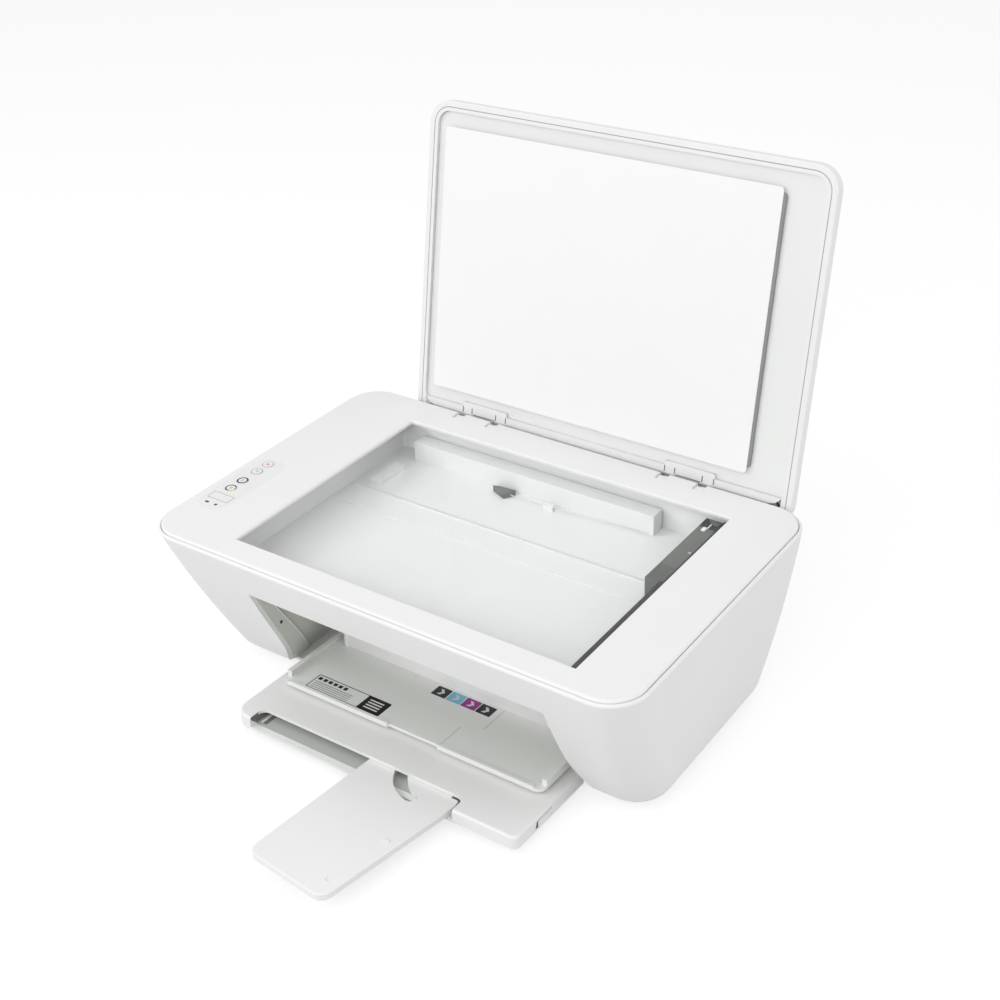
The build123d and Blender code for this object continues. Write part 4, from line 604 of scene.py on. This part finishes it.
def makeSlotShade():   # painted shade in the gap round the rear right corner of the extender's slot
    x, y = slotShade["centre"]
    outer, inner, left, front = (slotShade[key] for key in ("outer", "inner", "left", "front"))
    bend = arcLoop(x, y, inner, outer, 0, 90, 8)
    half = len(bend) // 2
    outline = [(x + outer, front), *bend[:half], (left, y + outer), (left, y + inner), *bend[half:], (x + inner, front)]
    flatPiece("slotShade", [outline], raised(trayPlane, slotShade["height"]), patch, "printer", inks["dark"])


makeTrayCatch()
makeArmMarks()
makeSlotShade()
print("tray finished")


# scan head fittings, tension arm and rail

headTop = planeAt((0, 0, 131.45))
headFittings = {
    "headDarkEnd": {"loops": [((139.4, 129.7), (153.4, 127.6), (153.4, 141.3), (141.0, 141.3), (139.4, 139.6))],
                    "lift": 0.0, "thick": 0.25, "edge": 0.0, "slot": "dark_plastic", "look": looks["dark_plastic"]},
    "headPlate": {"loops": [((152.6, 140.9), (151.6, 134.2), (146.6, 134.8), (141.2, 140.9))],
                  "lift": 0.2, "thick": 0.3, "edge": 0.0, "slot": "dark_plastic", "look": nodeLooks["scan_head"]},
    "headShoe": {"loops": [roundedRect(145.2, 125.7, 3.4, 5.0, 0.6)],
                 "lift": 0.04, "thick": 1.2, "edge": 0.3, "slot": "inner_white", "look": looks["inner_white"]},
    "headTongue": {"loops": [barLoop(146.7, 131.2, 0.9, 7.0)],
                   "lift": 0.2, "thick": 0.4, "edge": 0.0, "slot": "inner_white", "look": looks["inner_white"]},
    "headScrew": {"loops": [discLoop(151.4, 92.0, 1.3, 12), barLoop(151.4, 92.0, 2.08, 0.5)],
                  "lift": 0.0, "thick": 0.5, "edge": 0.1, "slot": "steel", "look": looks["steel"]},
    "headFrontPlate": {"loops": [barLoop(146.2, 59.2, 13.6, 21.0)],
                       "lift": 0.0, "thick": 0.2, "edge": 0.0, "slot": "dark_plastic", "look": nodeLooks["head_front"]},
    "headBlackStrip": {"loops": [((151.6, -79.8), (157.3, -79.8), (157.3, 141.0), (153.9, 141.0), (153.9, 48.4),
                                  (151.6, 48.4))],
                       "lift": 0.55, "thick": 1.15, "edge": 0.3, "slot": "dark_plastic", "look": looks["dark_plastic"]},
}
tensionWedge = {"outline": ((-44.6, 122.3), (-38.0, 119.6), (-30.6, 116.7), (-27.3, 121.7), (-25.5, 126.7), (-41.0, 125.4),
                            (-45.6, 123.7)), "base": 108.0, "height": 5.0, "edge": 0.35}
springWire = {"path": ((-29.0, 121.7, 110.5), (14.0, 121.7, 110.5), (96.0, 129.2, 110.5)), "radius": 0.4}
rail = {"centre": (11.5, 60.8), "length": 322.0, "base": (28.4, 0.4), "baseRound": 1.0, "ridge": (3.0, 1.3), "ridgeRound": 0.6,
        "ridgeShift": 11.6, "ridgeLift": 0.2, "ridgeEdge": 0.2, "toothPitch": 1.6, "tooth": (0.8, 2.2, 0.5), "toothSunk": 0.05,
        "endGap": 2.0, "bottom": 108.0}


def makeHeadFittings():
    for name, spec in headFittings.items():
        flatPiece(name, spec["loops"], raised(headTop, spec["lift"]), spec["thick"], "head", spec["look"],
                  spec["edge"])


def makeTensionArm():
    wedge = flatPiece("tensionWedge", [tensionWedge["outline"]], planeAt((0, 0, tensionWedge["base"])), tensionWedge["height"],
                      "printer", nodeLooks["scan_head"], tensionWedge["edge"])
    addPiece("springWire", wireMesh("springWire", springWire["path"], springWire["radius"]), "printer", inks["pale"])
    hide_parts("tension_arm")


def makeRail():
    x, y = rail["centre"]
    width, height = rail["base"]
    foot = planeAt((0, 0, rail["bottom"]))
    base = flatPiece("scanRail", [roundedRect(x, y, rail["length"], width, rail["baseRound"])], foot, height,
                     "printer", looks["tub_plastic"])
    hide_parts("scan_rail")
    width, height = rail["ridge"]
    y, lift = y + rail["ridgeShift"], rail["ridgeLift"]
    flatPiece("scanRailRidge", [roundedRect(x, y, rail["length"], width, rail["ridgeRound"])], raised(foot, lift),
              height - lift, "printer", looks["tub_plastic"], rail["ridgeEdge"])
    along, across, tall = rail["tooth"]
    left, pitch = x - rail["length"] / 2 + rail["endGap"], rail["toothPitch"]
    tooth = flatMesh("railTooth", [barLoop(left, y, along, across)], raised(foot, height - rail["toothSunk"]), tall)
    repeatPiece("scanRailTeeth", tooth, int((rail["length"] - 2 * rail["endGap"]) / pitch), (pitch * mm, 0, 0),
                "printer", looks["tub_plastic"])


makeHeadFittings()
makeTensionArm()
makeRail()
print("scan bed finished")


# foam behind the white pad of the lid, darkened and reaching past the pad's right edge as a painted shadow

lidPlane = planeAt((0, 166.73, 131.5), 80.0)
padFoamAndShadow = {"centre": (5.5, 134.5), "size": (294.6, 210.0), "back": -13.8, "thick": 2.8, "round": 3.0, "edge": 0.9,
           "dent": 0.35, "dentEvery": 4.0, "wave": (0.31, 0.27)}


def makePadFoamAndShadow():
    x, y = padFoamAndShadow["centre"]
    waveX, waveY = padFoamAndShadow["wave"]
    outline = roundedRect(x, y, *padFoamAndShadow["size"], padFoamAndShadow["round"])
    loop = []
    for place, (startX, startY) in enumerate(outline):
        endX, endY = outline[(place + 1) % len(outline)]
        count = max(int(math.hypot(endX - startX, endY - startY) / padFoamAndShadow["dentEvery"]), 1)
        for step in range(count):
            px, py = startX + (endX - startX) * step / count, startY + (endY - startY) * step / count
            sag = padFoamAndShadow["dent"] * (1 + math.sin(px * waveX) * math.cos(py * waveY))
            pull = Vector((x - px, y - py)).normalized() * sag
            loop.append((px + pull.x, py + pull.y))
    foam = flatPiece("padFoamAndShadow", [loop], raised(lidPlane, padFoamAndShadow["back"]), padFoamAndShadow["thick"],
                     "lid", looks["foam_grey"], edge=padFoamAndShadow["edge"])
    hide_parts("pad_foam")


# lower rim with its hinge bumps, and the groove round the rim

lidRim = {"left": -154.0, "right": 182.0, "low": -3.5, "high": 13.4, "hinges": (-92.0, 103.0), "bump": (44.0, 17.2),
          "back": -13.9, "thick": 3.1, "edge": 0.6}
hingeSlits = {"places": (-21.6, -12.6, 11.6, 21.6), "low": 8.4, "size": (0.9, 5.0), "gapLine": (-11.4, 10.4, 7.9, 0.7)}
knuckles = {"lefts": (-108.4, 86.6), "step": 32.8, "length": 8.4, "radius": 8.2, "edge": 0.5, "pivot": (166.73, 131.5)}
rimGroove = {"centre": (14.0, 126.5), "size": (344.0, 265.0), "round": 14.5, "line": 0.7, "height": -10.82}


def makeLidRim():
    outline = [(lidRim["left"], lidRim["low"]), (lidRim["right"], lidRim["low"]), (lidRim["right"], lidRim["high"])]
    half, top = lidRim["bump"][0] / 2, lidRim["bump"][1]
    for x in reversed(lidRim["hinges"]):
        outline += [(x + half, lidRim["high"]), (x + half, top), (x - half, top), (x - half, lidRim["high"])]
    outline.append((lidRim["left"], lidRim["high"]))
    flatPiece("lidLowerRim", [outline], raised(lidPlane, lidRim["back"]), lidRim["thick"],
              "lid", looks["white_plastic"], lidRim["edge"])
    face = raised(lidPlane, lidRim["back"] + lidRim["thick"] - 2 * sunk)
    width, height = hingeSlits["size"]
    first, last = lidRim["hinges"]
    loops = [barLoop(first + x, hingeSlits["low"] + height / 2, width, height) for x in hingeSlits["places"]]
    start, end, low, line = hingeSlits["gapLine"]
    loops.append(barLoop(first + (start + end) / 2, low, end - start, line))
    repeatPiece("hingeSlits", flatMesh("hingeSlit", loops, face, hairline), 2, ((last - first) * mm, 0, 0),
                "lid", inks["seam"])
    flatPiece("rimGroove", frameLoops(*rimGroove["centre"], *rimGroove["size"], rimGroove["round"], rimGroove["line"]),
              raised(lidPlane, rimGroove["height"]), hairline, "lid", inks["grey"])


def makeKnuckles():   # round ends of the lid's hinge tabs
    outline = discLoop(0, 0, knuckles["radius"], 16, 0.999)
    for side, left in zip(("left", "right"), knuckles["lefts"]):
        start = planeAt((left - knuckles["length"] / 2, *knuckles["pivot"])) @ sideways
        repeatPiece(f"{side}Knuckles", flatMesh("knuckle", [outline], start, knuckles["length"], knuckles["edge"]), 2,
                    (knuckles["step"] * mm, 0, 0), "lid", looks["white_plastic"])


makePadFoamAndShadow()
makeLidRim()
makeKnuckles()
print("lid finished")


# dark seam between the deck and the case, and painted shade on the floor and left end of the tray's pocket

deckSeam = {"centre": (0.0, 36.73), "size": (419.9, 271.9), "round": 27.4, "line": 0.5, "height": 138.3}
pocketFloorShade = {"outline": (-20.0, -79.0, 184.0, 35.0, 1.5), "height": -8.39}
pocketEnd = {"place": -111.95, "front": (-101.2, -2.7), "bottom": -95.5, "corner": -93.0, "rear": -64.0, "plate": -2.65,
             "top": -0.5, "lift": 0.04, "band": (-105.6, -84.5, 3.4, 18.0), "rib": (-108.2, -84.5, 1.0, 18.0),
             "ribHeight": 1.2, "ribEdge": 0.2}

flatPiece("deckSeam", frameLoops(*deckSeam["centre"], *deckSeam["size"], deckSeam["round"], deckSeam["line"]),
          planeAt((0, 0, deckSeam["height"])), patch, "printer", inks["seam"])
# painted shade: a grey patch on the pocket's floor under the tray's top plate
flatPiece("pocketFloorShade", [roundedRect(*pocketFloorShade["outline"])], raised(trayPlane, pocketFloorShade["height"]), ink,
          "printer", inks["pocket"])


def makePocketEnd():   # painted shade on the left end of the pocket and a painted shade band on the floor beside it, with the rib
    wall = trayPlane @ Matrix.Translation((pocketEnd["place"], 0, 0)) @ sideways
    low = pocketFloorShade["height"]
    front, rear, corner, plate, top = (pocketEnd[key] for key in ("front", "rear", "corner", "plate", "top"))
    outline = [front, (pocketEnd["bottom"], low), (rear, low), (rear, plate), (corner, plate), (corner, top), (front[0], top)]
    flatPiece("pocketEnd", [outline], wall, patch, "printer", inks["shade"])
    floor = raised(trayPlane, low + pocketEnd["lift"])
    flatPiece("pocketShadeBand", [barLoop(*pocketEnd["band"])], floor, hairline, "printer", inks["shade"])
    flatPiece("pocketRib", [barLoop(*pocketEnd["rib"])], floor, pocketEnd["ribHeight"],
              "printer", looks["bay_grey"], pocketEnd["ribEdge"])


makePocketEnd()
print("seams finished")


# painted highlight along the cheeks' crease, painted shade in the cheek's hole, and linings of the two rear sockets

cheekCrease = {"centre": 9.5, "half": 129.4, "foot": (-23.27, 12.4), "lean": 31.0, "flareStart": 51.0,
               "flareRadius": 80.0, "low": 13.5, "high": 97.0, "steps": 24, "radius": 0.45}
cheekHole = {"place": (-58.77, 60.7), "radius": 1.5, "face": -119.95}
sockets = {"data": {"place": (158.0, 38.0), "size": (12.0, 11.0), "look": "steel"},
           "power": {"place": (-148.0, 38.0), "size": (20.0, 14.0), "look": "cartridge_black"}}
socketCut = {"rear": 147.23, "deep": 9.2, "wall": 1.5, "slack": 0.1, "liner": 0.3, "linerRound": 0.4, "bottomGap": 0.7,
             "rim": 0.25, "rimRound": 0.8}


def makeCheekCreaseHighlights():   # a pale bead as painted highlight, each following the cheek where it flares out below
    footY, footZ = cheekCrease["foot"]
    low, high, steps, bow = (cheekCrease[key] for key in ("low", "high", "steps", "flareRadius"))
    slope = math.tan(math.radians(cheekCrease["lean"]))
    for side, sign in (("left", -1), ("right", 1)):
        path = []
        for step in range(steps + 1):
            z = low + (high - low) * step / steps
            flare = bow - math.sqrt(bow ** 2 - max(cheekCrease["flareStart"] - z, 0) ** 2)
            path.append((cheekCrease["centre"] + sign * (cheekCrease["half"] + flare), footY - slope * (z - footZ), z))
        addPiece(side + "CheekCrease", wireMesh("cheekCrease", path, cheekCrease["radius"]),
                 "printer", looks["inner_white"])


def makeSockets():
    for name, spec in sockets.items():
        x, z = spec["place"]
        deep, wall, liner, gap = (socketCut[key] for key in ("deep", "wall", "liner", "bottomGap"))
        width, height = (side - 2 * wall - socketCut["slack"] for side in spec["size"])
        bottom = planeAt((x, socketCut["rear"] - deep, z), -90)
        flatPiece(name + "SocketLiner", frameLoops(0, 0, width, height, socketCut["linerRound"], liner), bottom, deep,
                  "printer", looks[spec["look"]])
        flatPiece(name + "SocketBottom", [roundedRect(0, 0, width - gap, height - gap, liner)], bottom, liner,
                  "printer", looks["dark_plastic"])
        flatPiece(name + "SocketRim", frameLoops(0, 0, *spec["size"], socketCut["rimRound"], wall), raised(bottom, deep),
                  socketCut["rim"], "printer", looks[spec["look"]])


makeCheekCreaseHighlights()
makeSockets()
# painted shade: a dark disc inside the cheek's hole
flatPiece("cheekHoleShade", [discLoop(*cheekHole["place"], cheekHole["radius"], 6)],
          planeAt((cheekHole["face"], 0, 0)) @ sideways, patch, "printer", looks["dark_plastic"])
print("cheeks and sockets finished")


# floor, light and camera

studio = {"floorHalf": 6.0, "floorDrop": 0.0005, "floorTint": (0.62, 0.62, 0.62), "shadeTint": (0.36, 0.36, 0.36, 1),
          "floorGlow": 0.71, "roomLight": (0.6, 0.6, 0.6, 1), "backdrop": (1.0, 1.0, 1.0, 1), "lampAim": (0.0, 0.03, 0.12)}
photoView = {"target": (-0.00089, 0.07059, 0.141), "back": (0.50099, -0.69557, 0.51497), "distance": 1.17576,
             "right": (0.81144, 0.58444, 0.0), "up": (-0.30097, 0.41787, 0.85721), "roll": -2.298, "lens": 55.41,
             "sensor": 36.0}
lamps = {
    "overhead": {"place": (0.2, 0.1, 1.9), "size": (1.8, 1.8), "watts": 4.6},
    "frontLeft": {"place": (-1.35, -1.2, 1.35), "size": (1.0, 1.0), "watts": 10.0},
    "frontFill": {"place": (0.3, -1.5, 1.0), "size": (1.8, 1.0), "watts": 10.8},
    "rightFill": {"place": (1.4, 0.6, 0.45), "size": (0.9, 0.9), "watts": 3.8},
}


def seenRays(tree):   # rays that show the white backdrop
    path = tree.nodes.new("ShaderNodeLightPath")
    direct = addMath(tree, "MAXIMUM", path.outputs["Is Camera Ray"], path.outputs["Is Transmission Ray"])
    shown = addMath(tree, "MAXIMUM", direct, path.outputs["Is Glossy Ray"])
    return addMath(tree, "MULTIPLY", shown, addMath(tree, "LESS_THAN", path.outputs["Diffuse Depth"], 0.5))


def makeStage():
    mesh = bpy.data.meshes.new("floor")
    maker = bmesh.new()
    bmesh.ops.create_grid(maker, x_segments=8, y_segments=8, size=studio["floorHalf"])
    maker.to_mesh(mesh)
    maker.free()
    floor = bpy.data.objects.new("floor", mesh)
    floor.location = (0, 0, -studio["floorDrop"])
    bpy.context.scene.collection.objects.link(floor)
    paint = plastic("floorPaint", studio["floorTint"], 0.9, drift=0.004, grain=300.0)
    tree = paint.node_tree
    shade = addNode(tree, "ShaderNodeBsdfDiffuse")   # keeps the printer's shadow
    shade.inputs["Color"].default_value = studio["shadeTint"]
    glow = addNode(tree, "ShaderNodeEmission")
    glow.inputs["Strength"].default_value = studio["floorGlow"]
    pale = addNode(tree, "ShaderNodeAddShader")
    tree.links.new(shade.outputs[0], pale.inputs[0])
    tree.links.new(glow.outputs[0], pale.inputs[1])
    seen = seenRays(tree)
    either = addNode(tree, "ShaderNodeMixShader")
    tree.links.new(seen, either.inputs[0])
    tree.links.new(tree.nodes["Principled BSDF"].outputs[0], either.inputs[1])
    tree.links.new(pale.outputs[0], either.inputs[2])
    tree.links.new(either.outputs[0], tree.nodes["Material Output"].inputs["Surface"])
    mesh.materials.append(paint)


def addLamp(name, place, size, watts):
    lamp = bpy.data.lights.new(name, "AREA")
    lamp.shape = "RECTANGLE"
    lamp.size, lamp.size_y = size
    lamp.energy = watts
    holder = bpy.data.objects.new(name, lamp)
    holder.location = place
    holder.rotation_euler = (Vector(studio["lampAim"]) - Vector(place)).to_track_quat("-Z", "Y").to_euler()
    bpy.context.scene.collection.objects.link(holder)


def makeWorld():
    world = bpy.data.worlds.new("studio")
    bpy.context.scene.world = world
    world.use_nodes = True
    tree = world.node_tree
    sky = tree.nodes["Background"]
    sky.inputs["Strength"].default_value = 1.0
    seen = tree.nodes.new("ShaderNodeMix")
    seen.data_type = "RGBA"
    tree.links.new(seenRays(tree), seen.inputs[0])
    seen.inputs[6].default_value = studio["roomLight"]   # A and B of the colour mix
    seen.inputs[7].default_value = studio["backdrop"]
    tree.links.new(seen.outputs[2], sky.inputs["Color"])


def makeCamera():   # the place that the photograph was taken from
    back, right, up = (Vector(photoView[key]) for key in ("back", "right", "up"))
    turn = math.radians(photoView["roll"])
    across = right * math.cos(turn) + up * math.sin(turn)
    upright = up * math.cos(turn) - right * math.sin(turn)
    lens = bpy.data.cameras.new("photoCamera")
    lens.lens = photoView["lens"]
    lens.sensor_width = photoView["sensor"]
    camera = bpy.data.objects.new("photoCamera", lens)
    place = Vector(photoView["target"]) + back * photoView["distance"]
    camera.matrix_world = Matrix.Translation(place) @ Matrix((across, upright, back)).transposed().to_4x4()
    bpy.context.scene.collection.objects.link(camera)
    bpy.context.scene.camera = camera


makeStage()
makeWorld()
for lampName, spec in lamps.items():
    addLamp(lampName, **spec)
makeCamera()
bpy.context.scene.view_settings.view_transform = "Standard"
print("stage set")
